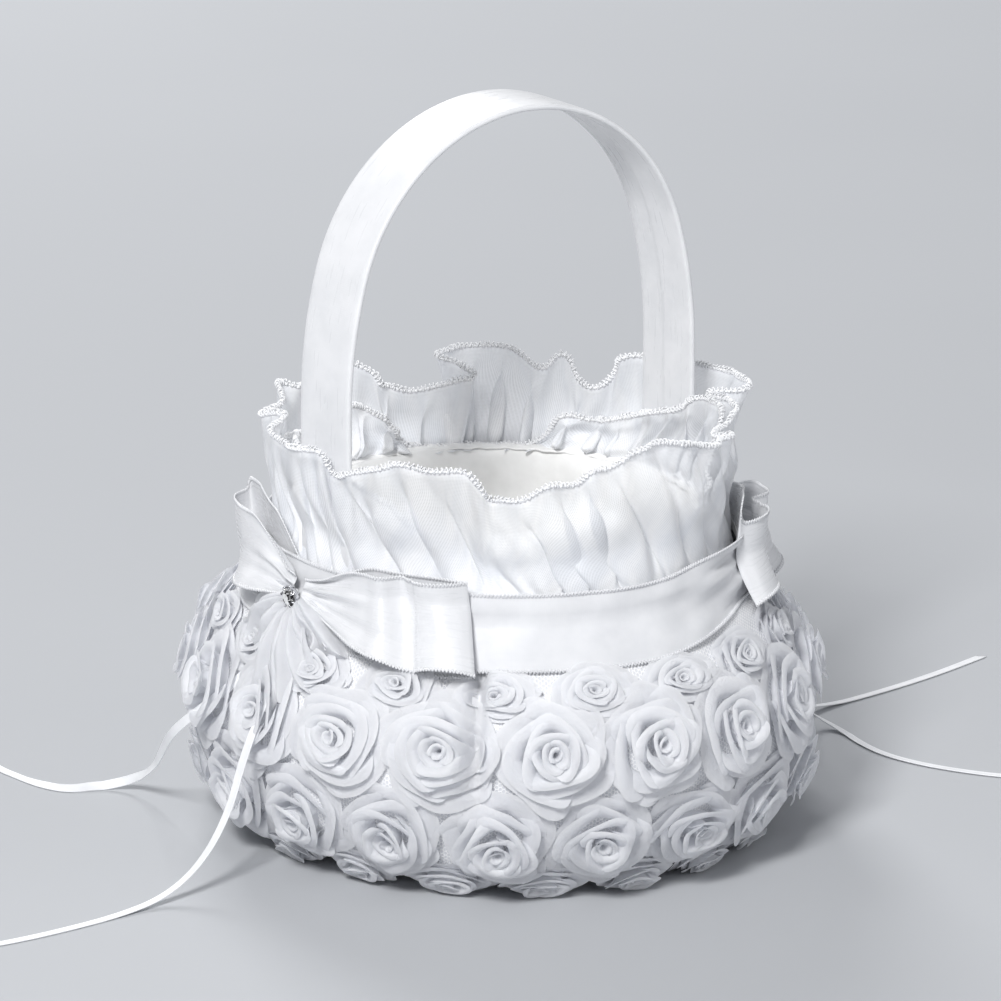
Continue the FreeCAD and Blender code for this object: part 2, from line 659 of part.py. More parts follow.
def route_wire(points):
    """Straight runs joined by tangent arcs, and the arcs' radii."""
    corners = [Vector(*point) for point in points]
    edges, radii, start = [], [], corners[0]
    for before, corner, after in zip(corners, corners[1:], corners[2:]):
        back, ahead = before - corner, after - corner
        cut = ARC_SHARE * min(back.Length, ahead.Length)
        back.normalize()
        ahead.normalize()
        half_turn = (math.pi - back.getAngle(ahead)) / 2
        radius = cut / math.tan(half_turn)
        middle_way = (back + ahead).normalize()
        middle = corner + middle_way * (radius / math.cos(half_turn) - radius)
        edges.append(Part.LineSegment(start, corner + back * cut).toShape())
        edges.append(Part.Arc(corner + back * cut, middle, corner + ahead * cut).toShape())
        radii.append(radius)
        start = corner + ahead * cut
    edges.append(Part.LineSegment(start, corners[-1]).toShape())
    return Part.Wire(edges), radii


def make_streamer(name, points):
    """The tube along a streamer's route, as wide as its ribbon."""
    wire, radii = route_wire(points)
    spine = doc.addObject("Part::Feature", f"{name}_route")
    spine.Shape = wire
    ring = add("Part::Circle", f"{name}_ring", Radius="Sizes.streamer_width / 2")
    start, second = Vector(*points[0]), Vector(*points[1])
    ring.Placement = FreeCAD.Placement(start, FreeCAD.Rotation(Vector(0, 0, 1), second - start))
    tube = doc.addObject("Part::Sweep", name)
    tube.Sections = [ring]
    tube.Spine = (spine, [f"Edge{i + 1}" for i in range(len(wire.Edges))])
    tube.Solid = True
    tube.Frenet = False
    section = math.pi * value("Sizes.streamer_width") ** 2 / 4
    return tube, wire.Length, min(radii), section * wire.Length


def make_bows_and_stones():
    right = [make_right_bow(), make_right_knot(), *make_right_stone()]
    left = [mirrored(part.Name.replace("right", "left"), part, Vector(1, 0, 0)) for part in right]
    return right + left


streamers = {name: make_streamer(name, points) for name, points in STREAMER_ROUTES.items()}
nodes = [
    make_base_cover(), make_base_board(), make_wall_ring(), make_rim_binding(),
    make_lining_wall(), make_lining_floor_pad(), make_rosette_backing(), make_stuffing(),
    *make_rosettes(), make_waist_ribbon(), make_gathering_tape(), *make_frills(),
    *make_handle(), *make_bows_and_stones(), *(made[0] for made in streamers.values()),
]
for node in nodes:
    node.Label = node.Name
doc.recompute()

for made in doc.Objects:
    if "Invalid" in made.State or "Error" in made.State:
        raise RuntimeError(f"{made.Name} failed: {made.State}")
for node in nodes:
    if node.Shape.isNull() or not node.Shape.isValid():
        raise RuntimeError(f"{node.Label} has no valid shape")
    if not node.Shape.Solids:
        raise RuntimeError(f"{node.Label} holds no solid")

for name, (tube, length, tightest, expected) in streamers.items():
    share = tube.Shape.Volume / expected
    print(f"{name}: {length:.1f} mm, tightest arc {tightest:.1f} mm, volume share {share:.4f}")

os.makedirs("parts", exist_ok=True)
for node in nodes:
    node.Shape.exportStep(f"parts/{node.Label}.step")
print(len(nodes), "nodes written")
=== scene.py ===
"""The looks of the flower girl basket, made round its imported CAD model.

Shapes are worked out in millimetres, and Build.make turns them into Blender's metres. A place round the
basket is a turn, the angle on the oval in radians from +X towards +Y, and a half length, the oval's
reach along Y. OVAL times the half length is its reach along X.
"""
import math
import random

import bpy
import numpy as np
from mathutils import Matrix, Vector
from mathutils.bvhtree import BVHTree


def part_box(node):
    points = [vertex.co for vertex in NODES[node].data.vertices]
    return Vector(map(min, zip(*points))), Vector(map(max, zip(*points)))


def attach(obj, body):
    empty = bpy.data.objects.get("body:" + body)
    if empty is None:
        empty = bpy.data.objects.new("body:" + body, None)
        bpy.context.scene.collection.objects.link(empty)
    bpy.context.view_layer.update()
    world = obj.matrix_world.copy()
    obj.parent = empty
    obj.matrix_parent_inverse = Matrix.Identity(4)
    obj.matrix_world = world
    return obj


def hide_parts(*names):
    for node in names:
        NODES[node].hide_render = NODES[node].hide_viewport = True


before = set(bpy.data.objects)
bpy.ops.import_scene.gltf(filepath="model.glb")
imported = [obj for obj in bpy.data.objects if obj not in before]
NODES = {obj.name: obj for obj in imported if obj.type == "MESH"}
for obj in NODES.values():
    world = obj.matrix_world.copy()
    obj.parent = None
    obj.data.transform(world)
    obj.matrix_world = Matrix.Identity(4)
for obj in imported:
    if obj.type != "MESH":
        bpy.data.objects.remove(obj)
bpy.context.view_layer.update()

METRES = 0.001
# The range of a random phase, just under one full turn.
PHASES = 6.28
UP = np.array((0.0, 0.0, 1.0))


def box_mm(node):
    """The low and high corner of a CAD node."""
    low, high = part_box(node)
    return np.array(low) / METRES, np.array(high) / METRES


# ---------------------------------------------------------------- camera and lights

# The camera as fitted to the photograph: metres, and a lens in millimetres for a 36 mm sensor.
CAMERA_DISTANCE = 2.3
CAMERA_ELEVATION = math.radians(17.11)
CAMERA_AZIMUTH = math.radians(-37.13)
CAMERA_AIM = Vector((0, 0, 0.1008))
CAMERA_LENS = 267.03
SENSOR = 36


def put(name, data, place, looking):
    """Links a camera or lamp that looks along a direction."""
    thing = bpy.data.objects.new(name, data)
    thing.location = place
    thing.rotation_mode = "QUATERNION"
    thing.rotation_quaternion = looking.to_track_quat("-Z", "Y")
    bpy.context.scene.collection.objects.link(thing)
    return thing


def make_camera():
    """The camera at the photograph's viewing angle."""
    level = math.cos(CAMERA_ELEVATION)
    back = Vector((
        math.sin(CAMERA_AZIMUTH) * level, -math.cos(CAMERA_AZIMUTH) * level, math.sin(CAMERA_ELEVATION),
    ))
    data = bpy.data.cameras.new("camera")
    data.sensor_width = SENSOR
    data.lens = CAMERA_LENS
    bpy.context.scene.camera = put("camera", data, CAMERA_AIM + back * CAMERA_DISTANCE, -back)


def make_light(name, place, size, power):
    """A square lamp that looks at what the camera looks at."""
    data = bpy.data.lights.new(name, "AREA")
    data.shape = "RECTANGLE"
    data.size = size
    data.size_y = size
    data.energy = power
    put(name, data, place, CAMERA_AIM - Vector(place))


# ---------------------------------------------------------------- materials

# Thread spacings and the net's mesh, in millimetres.
SATIN_THREAD = 0.3
ORGANZA_THREAD = 0.42
NET_MESH = 1.1
# The share of the chiffon's shading that is light from behind it.
CHIFFON_THROUGH = 0.42


class Shader:
    """A material with one Principled shader, and short calls for the nodes that feed it."""

    def __init__(self):
        self.material = bpy.data.materials.new("material")
        self.material.use_nodes = True
        self.nodes = self.material.node_tree.nodes
        self.links = self.material.node_tree.links
        self.principled = self.nodes["Principled BSDF"]
        self.bump_out = None

    def fill(self, socket, value):
        """Links a socket to another node's output, or gives it a plain value."""
        if hasattr(value, "is_output"):
            self.links.new(value, socket)
        else:
            socket.default_value = value

    def node(self, kind, inputs=(), **settings):
        """A new node, with its settings made before its inputs are filled."""
        made = self.nodes.new(kind)
        for key, value in settings.items():
            setattr(made, key, value)
        for key, value in dict(inputs).items():
            self.fill(made.inputs[key], value)
        return made

    def set(self, **values):
        """Fills the Principled shader's sockets, with _ for the spaces in their names."""
        for key, value in values.items():
            self.fill(self.principled.inputs[key.replace("_", " ")], value)

    def maths(self, operation, a, b=0.0):
        """The result of a Math node."""
        return self.node("ShaderNodeMath", {0: a, 1: b}, operation=operation).outputs[0]

    def stretched(self, where, x, y, z=1.0):
        return self.node("ShaderNodeVectorMath", {0: where, 1: (x, y, z)}, operation="MULTIPLY").outputs[0]

    def place(self):
        """Millimetres in the object's own space."""
        point = self.node("ShaderNodeTexCoord").outputs["Object"]
        return self.stretched(point, 1 / METRES, 1 / METRES, 1 / METRES)

    def cloth(self):
        """Millimetres along and across the cloth."""
        return self.node("ShaderNodeTexCoord").outputs["UV"]

    def rim(self):
        """How near a point is to its piece's free edge, from 0 to 1."""
        return self.node("ShaderNodeAttribute", attribute_name="rim").outputs["Fac"]

    def noise(self, where, size, detail=2.0, roughness=0.5, distortion=0.0):
        """Noise whose patches are about size millimetres wide."""
        made = self.node("ShaderNodeTexNoise", {
            "Vector": where, "Scale": 1 / size, "Detail": detail, "Roughness": roughness,
            "Distortion": distortion,
        })
        return made.outputs["Fac"]

    def thread(self, axis, period, where=None):
        """A sine along one direction of the cloth, from -1 to 1, once in each thread."""
        parts = self.node("ShaderNodeSeparateXYZ", {0: where or self.cloth()})
        turn = self.maths("MULTIPLY", parts.outputs[axis], 2 * math.pi / period)
        return self.maths("SINE", turn)

    def ramp(self, value, low, high, a, b):
        """Takes low to a and high to b, in a straight line."""
        made = self.node("ShaderNodeMapRange", {"Value": value, 1: low, 2: high, 3: a, 4: b})
        return made.outputs[0]

    def colours(self, value, dark, light, low=0.35, high=0.65):
        """Dark where the value is below low, light above high, and blended between them."""
        made = self.node("ShaderNodeValToRGB", {0: value})
        for element, position, colour in zip(made.color_ramp.elements, (low, high), (dark, light)):
            element.position = position
            element.color = (*colour, 1)
        return made.outputs[0]

    def mixed(self, share, first, second):
        """The first colour where the share is 0, and the second where it is 1."""
        inputs = {0: share, 6: first, 7: (*second, 1)}
        return self.node("ShaderNodeMix", inputs, data_type="RGBA").outputs[2]

    def rough(self, value, low, high):
        """Spreads the roughness from low to high over the middle of a noise's range."""
        self.set(Roughness=self.ramp(value, 0.3, 0.7, low, high))

    def bump(self, value, depth, strength=1.0):
        """Adds a bump whose full height is depth, in millimetres."""
        inputs = {"Height": value, "Distance": depth * METRES, "Strength": strength}
        if self.bump_out:
            inputs["Normal"] = self.bump_out
        self.bump_out = self.node("ShaderNodeBump", inputs).outputs[0]
        self.set(Normal=self.bump_out)

    def blend(self, share, first, second):
        """Shows a mix of two shaders instead of the Principled one alone."""
        both = self.node("ShaderNodeMixShader", {0: share, 1: first, 2: second})
        self.links.new(both.outputs[0], self.nodes["Material Output"].inputs[0])


def satin(dark, light, roughness, anisotropy, crease, gloss=0.6):
    """Warp-faced satin: fine threads along it, a directional shine and soft creases."""
    made = Shader()
    where = made.place()
    made.set(Base_Color=made.colours(made.noise(where, 9, 3), dark, light))
    shine = made.noise(made.stretched(made.cloth(), 0.25, 2.2), 3, 3)
    made.rough(shine, roughness - 0.06, roughness + 0.07)
    made.set(Anisotropic=anisotropy, Sheen_Weight=0.15, Sheen_Roughness=0.35, IOR=1.5)
    tangent = made.node("ShaderNodeTangent", direction_type="UV_MAP", uv_map="cloth")
    made.set(Specular_IOR_Level=gloss, Tangent=tangent.outputs[0])
    made.bump(made.noise(where, 7, 2, distortion=0.6), crease, 0.35)
    made.bump(made.thread(1, SATIN_THREAD), 0.011, 0.4)
    made.bump(made.thread(0, SATIN_THREAD * 2.2), 0.006, 0.3)
    return made.material


def plain_weave(dark, light, thread):
    """A dull lining cloth whose threads follow X and Y, for the flat underside."""
    made = Shader()
    where = made.place()
    cloudy = made.noise(where, 8, 3)
    made.set(Base_Color=made.colours(cloudy, dark, light), Sheen_Weight=0.2)
    made.rough(cloudy, 0.5, 0.65)
    made.bump(made.noise(where, 12, 3), 0.3, 0.3)
    for axis in (0, 1):
        made.bump(made.thread(axis, thread, where), 0.03, 0.5)
    return made.material


def chiffon(dark, light):
    """Crisp matt chiffon, crinkled and a little see-through, with a painted highlight that makes it paler
    towards its free edge.
    """
    made = Shader()
    where = made.place()
    base = made.colours(made.noise(where, 5, 3), dark, light, 0.3, 0.7)
    # A painted highlight: the base colour turns nearly white towards the free edge.
    edge = made.ramp(made.rim(), 0.84, 1.0, 0.0, 1.0)
    made.set(Base_Color=made.mixed(edge, base, (0.985, 0.985, 0.99)), Sheen_Weight=0.3, Sheen_Roughness=0.5)
    made.set(Specular_IOR_Level=0.3)
    grain = made.noise(where, 0.5, 3, 0.6)
    made.rough(grain, 0.5, 0.72)
    made.bump(made.noise(where, 4.5, 3, 0.5, 1.2), 0.9, 0.45)
    made.bump(made.noise(made.stretched(where, 1, 1, 0.5), 1.6, 3, 0.55, 1.0), 0.28, 0.4)
    made.bump(grain, 0.05, 0.4)
    through = made.node("ShaderNodeBsdfTranslucent", {"Color": (0.94, 0.95, 0.98, 1)})
    made.blend(CHIFFON_THROUGH, made.principled.outputs[0], through.outputs[0])
    return made.material


def organza():
    """Sheer crisp organza: fine straight threads that let most of the light through."""
    made = Shader()
    threads = made.maths("MAXIMUM", made.thread(0, ORGANZA_THREAD), made.thread(1, ORGANZA_THREAD))
    cloudy = made.noise(made.stretched(made.cloth(), 0.6, 0.12), 3, 3)
    made.set(Base_Color=made.colours(cloudy, (0.87, 0.89, 0.93), (0.97, 0.975, 0.99)))
    made.set(Sheen_Weight=0.4, Sheen_Roughness=0.3)
    made.rough(cloudy, 0.38, 0.55)
    made.bump(made.noise(made.stretched(made.cloth(), 1, 0.16), 2.2, 2), 0.3, 0.35)
    made.bump(threads, 0.03, 0.4)
    weave = made.maths("ADD", threads, made.maths("MULTIPLY", cloudy, 0.8))
    cover = made.ramp(weave, -0.2, 1.6, 0.40, 0.60)
    rim = made.rim()
    hem = made.ramp(rim, 0.93, 1.0, 0.0, 0.3)
    gather = made.ramp(rim, 0.34, 0.72, 0.42, 0.0)
    cover = made.maths("ADD", made.maths("ADD", cover, hem), gather)
    clear = made.node("ShaderNodeBsdfTransparent", {"Color": (1, 1, 1, 1)})
    made.blend(cover, clear.outputs[0], made.principled.outputs[0])
    return made.material


def tulle():
    """Fine hexagonal net over white fabric: three sines at 60 degrees make its meshes. The grey between the
    threads is painted shade on the fabric beneath.
    """
    made = Shader()
    parts = made.node("ShaderNodeSeparateXYZ", {0: made.cloth()})
    step = 2 * math.pi / NET_MESH
    across = made.maths("MULTIPLY", parts.outputs[0], step)
    half = made.maths("MULTIPLY", parts.outputs[0], step / 2)
    up = made.maths("MULTIPLY", parts.outputs[1], step * math.sqrt(3) / 2)
    rising = made.maths("COSINE", made.maths("ADD", half, up))
    falling = made.maths("COSINE", made.maths("SUBTRACT", half, up))
    waves = made.maths("ADD", made.maths("ADD", rising, falling), made.maths("COSINE", across))
    net = made.ramp(waves, -0.9, 0.1, 1.0, 0.0)
    cloudy = made.noise(made.place(), 6, 3)
    # Painted shade: the fabric seen between the net's threads is painted grey.
    under = made.colours(cloudy, (0.72, 0.73, 0.76), (0.84, 0.85, 0.88))
    made.set(Base_Color=made.mixed(net, under, (0.97, 0.97, 0.98)), Sheen_Weight=0.2, Specular_IOR_Level=0.3)
    made.rough(cloudy, 0.62, 0.8)
    made.bump(net, 0.16, 0.7)
    made.bump(made.noise(made.place(), 3, 3), 0.4, 0.4)
    return made.material


def twisted_thread(dark, light):
    """Soft twisted cotton thread."""
    made = Shader()
    fine = made.noise(made.place(), 0.35, 3, 0.6)
    made.set(Base_Color=made.colours(fine, dark, light, 0.25, 0.75), Sheen_Weight=0.4, Sheen_Roughness=0.4)
    made.rough(fine, 0.55, 0.75)
    made.bump(fine, 0.1, 0.6)
    return made.material


def silver():
    """Bright plated metal with faint smudges."""
    made = Shader()
    smudge = made.noise(made.place(), 0.8, 4)
    made.set(Base_Color=made.colours(smudge, (0.62, 0.63, 0.65), (0.8, 0.8, 0.82)), Metallic=1.0)
    made.rough(smudge, 0.1, 0.24)
    made.bump(made.noise(made.place(), 0.25, 3), 0.01, 0.3)
    return made.material


def crystal():
    """A foiled stone whose facets carry painted reflections: base colours dark and light by turns, by their
    facing and by cells.
    """
    made = Shader()
    # Painted reflections: the base colour runs from near black to white by each facet's facing and by cells,
    # in place of mirrored light and dark.
    facing = made.node("ShaderNodeNewGeometry").outputs["True Normal"]
    painted_reflection_cells = made.node("ShaderNodeTexVoronoi", {"Vector": made.place(), "Scale": 0.75}).outputs["Color"]
    reflection_cell_share = made.node("ShaderNodeSeparateXYZ", {0: painted_reflection_cells}).outputs[0]
    painted_reflection = made.maths("ADD", made.noise(facing, 0.45, 1), made.maths("MULTIPLY", reflection_cell_share, 0.22))
    made.set(Base_Color=made.colours(painted_reflection, (0.004, 0.004, 0.006), (1.0, 1.0, 1.0), 0.59, 0.63))
    made.set(Metallic=0.5, Coat_Weight=1.0, Coat_Roughness=0.02, IOR=1.6)
    made.rough(made.noise(made.place(), 0.6, 3), 0.02, 0.08)
    return made.material


def hidden_stuff(dark, light, grain, roughness):
    """Card, tape, strip and filling, which lie inside."""
    made = Shader()
    speckle = made.noise(made.place(), grain, 4, 0.6)
    made.set(Base_Color=made.colours(speckle, dark, light, 0.3, 0.7))
    made.rough(speckle, roughness - 0.1, roughness + 0.1)
    made.bump(speckle, grain * 0.2, 0.5)
    return made.material


def pale_floor():
    """Matt pale grey with faint wide clouds."""
    made = Shader()
    cloud = made.noise(made.place(), 260, 2)
    made.set(Base_Color=made.colours(cloud, (0.49, 0.502, 0.522), (0.50, 0.512, 0.532)))
    made.set(Specular_IOR_Level=0.2)
    made.rough(cloud, 0.75, 0.85)
    return made.material


MATERIALS = {
    "satin_underside": plain_weave((0.74, 0.75, 0.77), (0.82, 0.83, 0.85), 0.5),
    "satin_lining": satin((0.86, 0.857, 0.845), (0.94, 0.937, 0.927), 0.42, 0.3, 0.5),
    "satin_ribbon": satin((0.775, 0.783, 0.803), (0.83, 0.835, 0.853), 0.28, 0.5, 0.16),
    # The waist ribbon is the bows' satin, with its colour painted darker as painted shade where it faces the
    # key lamp.
    "shaded_waist_satin": satin((0.73, 0.738, 0.76), (0.79, 0.795, 0.815), 0.42, 0.3, 0.3, gloss=0.3),
    "handle_satin": satin((0.79, 0.798, 0.815), (0.845, 0.85, 0.866), 0.31, 0.45, 0.1),
    "narrow_ribbon": satin((0.84, 0.85, 0.87), (0.92, 0.93, 0.95), 0.4, 0.4, 0.05),
    "chiffon": chiffon((0.90, 0.905, 0.925), (0.965, 0.968, 0.978)),
    "organza": organza(),
    "tulle": tulle(),
    "crochet_thread": twisted_thread((0.86, 0.87, 0.89), (0.98, 0.98, 0.99)),
    "silver_cup": silver(),
    "rhinestone": crystal(),
    "card": hidden_stuff((0.74, 0.73, 0.71), (0.84, 0.83, 0.81), 0.7, 0.8),
    "fibre_filling": hidden_stuff((0.84, 0.84, 0.85), (0.95, 0.95, 0.96), 1.2, 0.85),
    "cotton_tape": hidden_stuff((0.80, 0.80, 0.79), (0.90, 0.90, 0.89), 0.4, 0.75),
    "handle_strip": hidden_stuff((0.72, 0.72, 0.73), (0.82, 0.82, 0.83), 0.5, 0.5),
    "floor": pale_floor(),
}
for name, material in MATERIALS.items():
    material.name = name


# ---------------------------------------------------------------- meshes


def grid_faces(columns, rows, round_columns, round_rows):
    """Quads over a grid of points that are listed column by column."""
    faces = []
    for i in range(columns if round_columns else columns - 1):
        for j in range(rows if round_rows else rows - 1):
            a, b = i * rows, ((i + 1) % columns) * rows
            k = (j + 1) % rows
            faces.append((a + j, b + j, b + k, a + k))
    return faces


class Build:
    """Gathers patches of points, faces, cloth coordinates and rim shares into one mesh."""

    def __init__(self):
        self.points, self.faces, self.cloth, self.rims = [], [], [], []
        self.count = 0

    def add(self, points, faces, cloth=None, rims=None):
        """Adds a patch. Where it gives no cloth coordinates, they are its points' X and Y."""
        points = np.asarray(points, float).reshape(-1, 3)
        cloth = points[:, :2] if cloth is None else np.asarray(cloth, float).reshape(-1, 2)
        rims = np.zeros(len(points)) if rims is None else np.asarray(rims, float).reshape(-1)
        self.points.append(points)
        self.faces += [tuple(corner + self.count for corner in face) for face in faces]
        self.cloth.append(cloth)
        self.rims.append(rims)
        self.count += len(points)

    def grid(self, points, cloth=None, rims=None, round_columns=False, round_rows=False):
        columns, rows = points.shape[:2]
        self.add(points, grid_faces(columns, rows, round_columns, round_rows), cloth, rims)

    def bar(self, points, cloth):
        """Adds a long solid, whose rows go round its section, with flat ends."""
        first, section = self.count, points.shape[1]
        self.grid(points, cloth, round_rows=True)
        last = self.count - section
        self.faces += [tuple(range(first, first + section)), tuple(range(self.count - 1, last - 1, -1))]

    def make(self, name, material, replaces=(), smooth=True):
        """Makes the piece, with its cloth coordinates as a UV map and its rim shares as an attribute."""
        mesh = bpy.data.meshes.new(name)
        points = np.concatenate(self.points) * METRES
        mesh.from_pydata(points.tolist(), [], self.faces)
        corners = np.empty(len(mesh.loops), dtype=np.int32)
        mesh.loops.foreach_get("vertex_index", corners)
        cloth = np.concatenate(self.cloth)[corners]
        mesh.uv_layers.new(name="cloth").data.foreach_set("uv", cloth.astype(np.float32).ravel())
        rim = mesh.attributes.new("rim", "FLOAT", "POINT")
        rim.data.foreach_set("value", np.concatenate(self.rims).astype(np.float32))
        mesh.polygons.foreach_set("use_smooth", [smooth] * len(mesh.polygons))
        mesh.update()
        piece = bpy.data.objects.new(name, mesh)
        bpy.context.scene.collection.objects.link(piece)
        return settle(piece, material, replaces)


def dress(piece, material):
    """Gives a piece its only material."""
    piece.data.materials.clear()
    piece.data.materials.append(MATERIALS[material])


def settle(piece, material, replaces=()):
    """Gives a piece its material and the body it rides on, and hides the CAD nodes it stands for."""
    dress(piece, material)
    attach(piece, "root")
    if replaces:
        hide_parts(*replaces)
    return piece


def subdivide(piece):
    """Rounds a piece off with one level of subdivision."""
    modifier = piece.modifiers.new("subdivision", "SUBSURF")
    modifier.levels = 1
    modifier.render_levels = 1


def smooth_step(value, low, high):
    """An S-curve from 0 at low to 1 at high. It falls where low is above high."""
    share = np.clip((np.asarray(value, float) - low) / (high - low), 0, 1)
    return share * share * (3 - 2 * share)


def bell(value, middle, reach):
    """1 in the middle, and nearly 0 at twice the reach."""
    return np.exp(-((value - middle) / reach) ** 2)


def unit(vectors):
    """The same vectors with length 1."""
    return vectors / np.maximum(np.linalg.norm(vectors, axis=-1, keepdims=True), 1e-9)


def away(points):
    """Level unit vectors that point away from the basket's axis."""
    return unit(points * (1, 1, 0))


def cloth_grid(along, across):
    """Cloth coordinates for a grid of points, from two arrays that numpy can match."""
    return np.stack(np.broadcast_arrays(along, across), axis=2)


def full_turns(columns):
    """Even turns once round the basket, as a column."""
    return np.linspace(-math.pi, math.pi, columns, endpoint=False)[:, None]


def lengths_along(points):
    """The way along a line to each of its points."""
    return np.concatenate([[0], np.cumsum(np.linalg.norm(np.diff(points, axis=0), axis=1))])


def at_lengths(values, run, wanted):
    """Rows of a table of three columns at the wanted lengths along a line."""
    return np.stack([np.interp(wanted, run, values[:, axis]) for axis in range(3)], axis=1)


def even_line(line, count, whole=True):
    """The same line with evenly spaced points, without its last point where it isn't wanted whole."""
    run = lengths_along(line)
    return at_lengths(line, run, np.linspace(0, run[-1], count, endpoint=whole))


# ---------------------------------------------------------------- streamers

# The control points of each streamer's line in metres, from the basket to the cut end. They are the CAD
# tube's, moved inwards next to the basket, so that the ribbon comes out from under the petals.
STREAMER_ROUTES = {
    "streamer_left_front": (
        (-0.0810, -0.0022, 0.0754), (-0.0888, -0.0026, 0.0655), (-0.0950, -0.0034, 0.0530),
        (-0.1035, -0.0056, 0.0400), (-0.1105, -0.0080, 0.0250), (-0.1204, -0.0090, 0.0122),
        (-0.1330, -0.0080, 0.0036), (-0.1490, -0.0089, 0.0017), (-0.1710, -0.0096, 0.0016),
        (-0.1930, -0.0080, 0.0016), (-0.2140, -0.0040, 0.0016),
    ),
    "streamer_left_back": (
        (-0.0810, 0.0022, 0.0754), (-0.0848, 0.0080, 0.0660), (-0.0885, 0.0172, 0.0560),
        (-0.0935, 0.0290, 0.0450), (-0.0965, 0.0430, 0.0335), (-0.0905, 0.0580, 0.0210),
        (-0.0840, 0.0720, 0.0105), (-0.0824, 0.0830, 0.0042), (-0.0905, 0.0905, 0.0017),
        (-0.1000, 0.0935, 0.0016), (-0.1040, 0.1030, 0.0016), (-0.1050, 0.1145, 0.0016),
        (-0.1056, 0.1270, 0.0016), (-0.1040, 0.1390, 0.0016),
    ),
    "streamer_right_upper": (
        (0.0810, 0.0022, 0.0754), (0.0888, 0.0026, 0.0655), (0.0950, 0.0032, 0.0530),
        (0.1075, 0.0046, 0.0390), (0.1118, 0.0068, 0.0250), (0.1202, 0.0100, 0.0128),
        (0.1325, 0.0130, 0.0040), (0.1475, 0.0140, 0.0018), (0.1660, 0.0148, 0.0016),
        (0.1845, 0.0166, 0.0016), (0.2020, 0.0194, 0.0016), (0.2180, 0.0229, 0.0016),
    ),
    "streamer_right_lower": (
        (0.0810, -0.0022, 0.0754), (0.0888, -0.0021, 0.0655), (0.0950, -0.0015, 0.0530),
        (0.1075, 0.0002, 0.0390), (0.1122, 0.0024, 0.0260), (0.1200, 0.0040, 0.0134),
        (0.1290, 0.0016, 0.0050), (0.1324, -0.0080, 0.0018), (0.1292, -0.0205, 0.0016),
        (0.1280, -0.0340, 0.0016), (0.1310, -0.0475, 0.0016), (0.1365, -0.0600, 0.0016),
        (0.1445, -0.0730, 0.0016), (0.1540, -0.0840, 0.0016),
    ),
}
# The narrow ribbon's width, in millimetres.
STREAMER_WIDTH = 3.0
STREAMER_POINTS = 240
# How far a streamer lies under its line, which runs where the middle of the CAD tube is.
STREAMER_DROP = 1.35
# The heights between which a streamer turns from facing outwards to lying flat.
STREAMER_LIES_DOWN = (26, 5)
FLOOR_CLEARANCE = 0.12
# How far the cut end slants, as a share of the width.
CUT_SLANT = 0.8
# The narrow ribbon's section, as shares of its width and millimetres of thickness.
STREAMER_TOP = (
    (-0.5, 0.06), (-0.46, 0.2), (-0.38, 0.13), (0.0, 0.11), (0.38, 0.13), (0.46, 0.2), (0.5, 0.06),
)
STREAMER_SECTION = STREAMER_TOP + tuple((w, -t) for w, t in reversed(STREAMER_TOP))
# How far each streamer turns about its own line, as (share of its length, degrees).
STREAMER_TURNS = {
    "streamer_left_front": ((0, 0), (0.25, 12), (0.42, -6), (0.6, 0), (1, 0)),
    "streamer_left_back": ((0, 0), (0.45, 25), (0.62, 70), (0.72, 40), (0.85, 5), (1, 0)),
    "streamer_right_upper": ((0, 0), (0.3, -14), (0.55, 4), (1, 0)),
    "streamer_right_lower": ((0, 0), (0.4, 20), (0.6, 8), (1, 0)),
}


def spline_line(name, route):
    """A route's smooth line, in metres: a NURBS spline with the route's points as its control points."""
    curve = bpy.data.curves.new(name + "_route", "CURVE")
    curve.dimensions = "3D"
    curve.resolution_u = 16
    spline = curve.splines.new("NURBS")
    spline.points.add(len(route) - 1)
    for point, place in zip(spline.points, route):
        point.co = (*place, 1)
    spline.order_u = 3
    spline.use_endpoint_u = True
    carrier = bpy.data.objects.new(name + "_route", curve)
    mesh = bpy.data.meshes.new_from_object(carrier)
    line = np.array([tuple(vertex.co) for vertex in mesh.vertices])
    bpy.data.objects.remove(carrier)
    bpy.data.curves.remove(curve)
    bpy.data.meshes.remove(mesh)
    return line


def make_streamer(name):
    """A narrow ribbon along its route, from under the petals to its cut end on the floor."""
    line = spline_line(name, STREAMER_ROUTES[name])
    path = even_line(line, STREAMER_POINTS) / METRES
    run = lengths_along(path)
    share = run / run[-1]
    along = unit(np.gradient(path, axis=0))
    lying = smooth_step(path[:, 2], *STREAMER_LIES_DOWN)[:, None]
    face = away(path) * (1 - lying) + UP * lying
    face = unit(face - along * (face * along).sum(axis=1, keepdims=True))
    across = np.cross(along, face)
    shares, degrees = zip(*STREAMER_TURNS[name])
    turn = np.radians(np.interp(share, shares, degrees))[:, None]
    turned_across = (across * np.cos(turn) + face * np.sin(turn))[:, None]
    turned_face = (face * np.cos(turn) - across * np.sin(turn))[:, None]
    middle = path - face * STREAMER_DROP * np.cos(turn) * smooth_step(share, 0, 0.06)[:, None]
    w, t = (np.array(column)[:, None] for column in zip(*STREAMER_SECTION))
    points = middle[:, None] + turned_across * w * STREAMER_WIDTH + turned_face * t
    points[-1] += along[-1] * (w * STREAMER_WIDTH * CUT_SLANT)
    points[..., 2] += np.maximum(0, FLOOR_CLEARANCE - points[..., 2].min(axis=1))[:, None]
    build = Build()
    build.bar(points, cloth_grid(run[:, None], w[:, 0] * STREAMER_WIDTH))
    piece = build.make("satin_" + name, "narrow_ribbon", [name])


make_camera()
for streamer in STREAMER_ROUTES:
    make_streamer(streamer)


# ---------------------------------------------------------------- the basket's outside

BACKING_LOW, BACKING_HIGH = box_mm("rosette_backing")
FRILL_HIGH = box_mm("outer_frill")[1]
RIBBON_LOW, RIBBON_HIGH = box_mm("waist_ribbon")
LINING_LOW, LINING_HIGH = box_mm("lining_wall")
OVAL = BACKING_HIGH[0] / BACKING_HIGH[1]


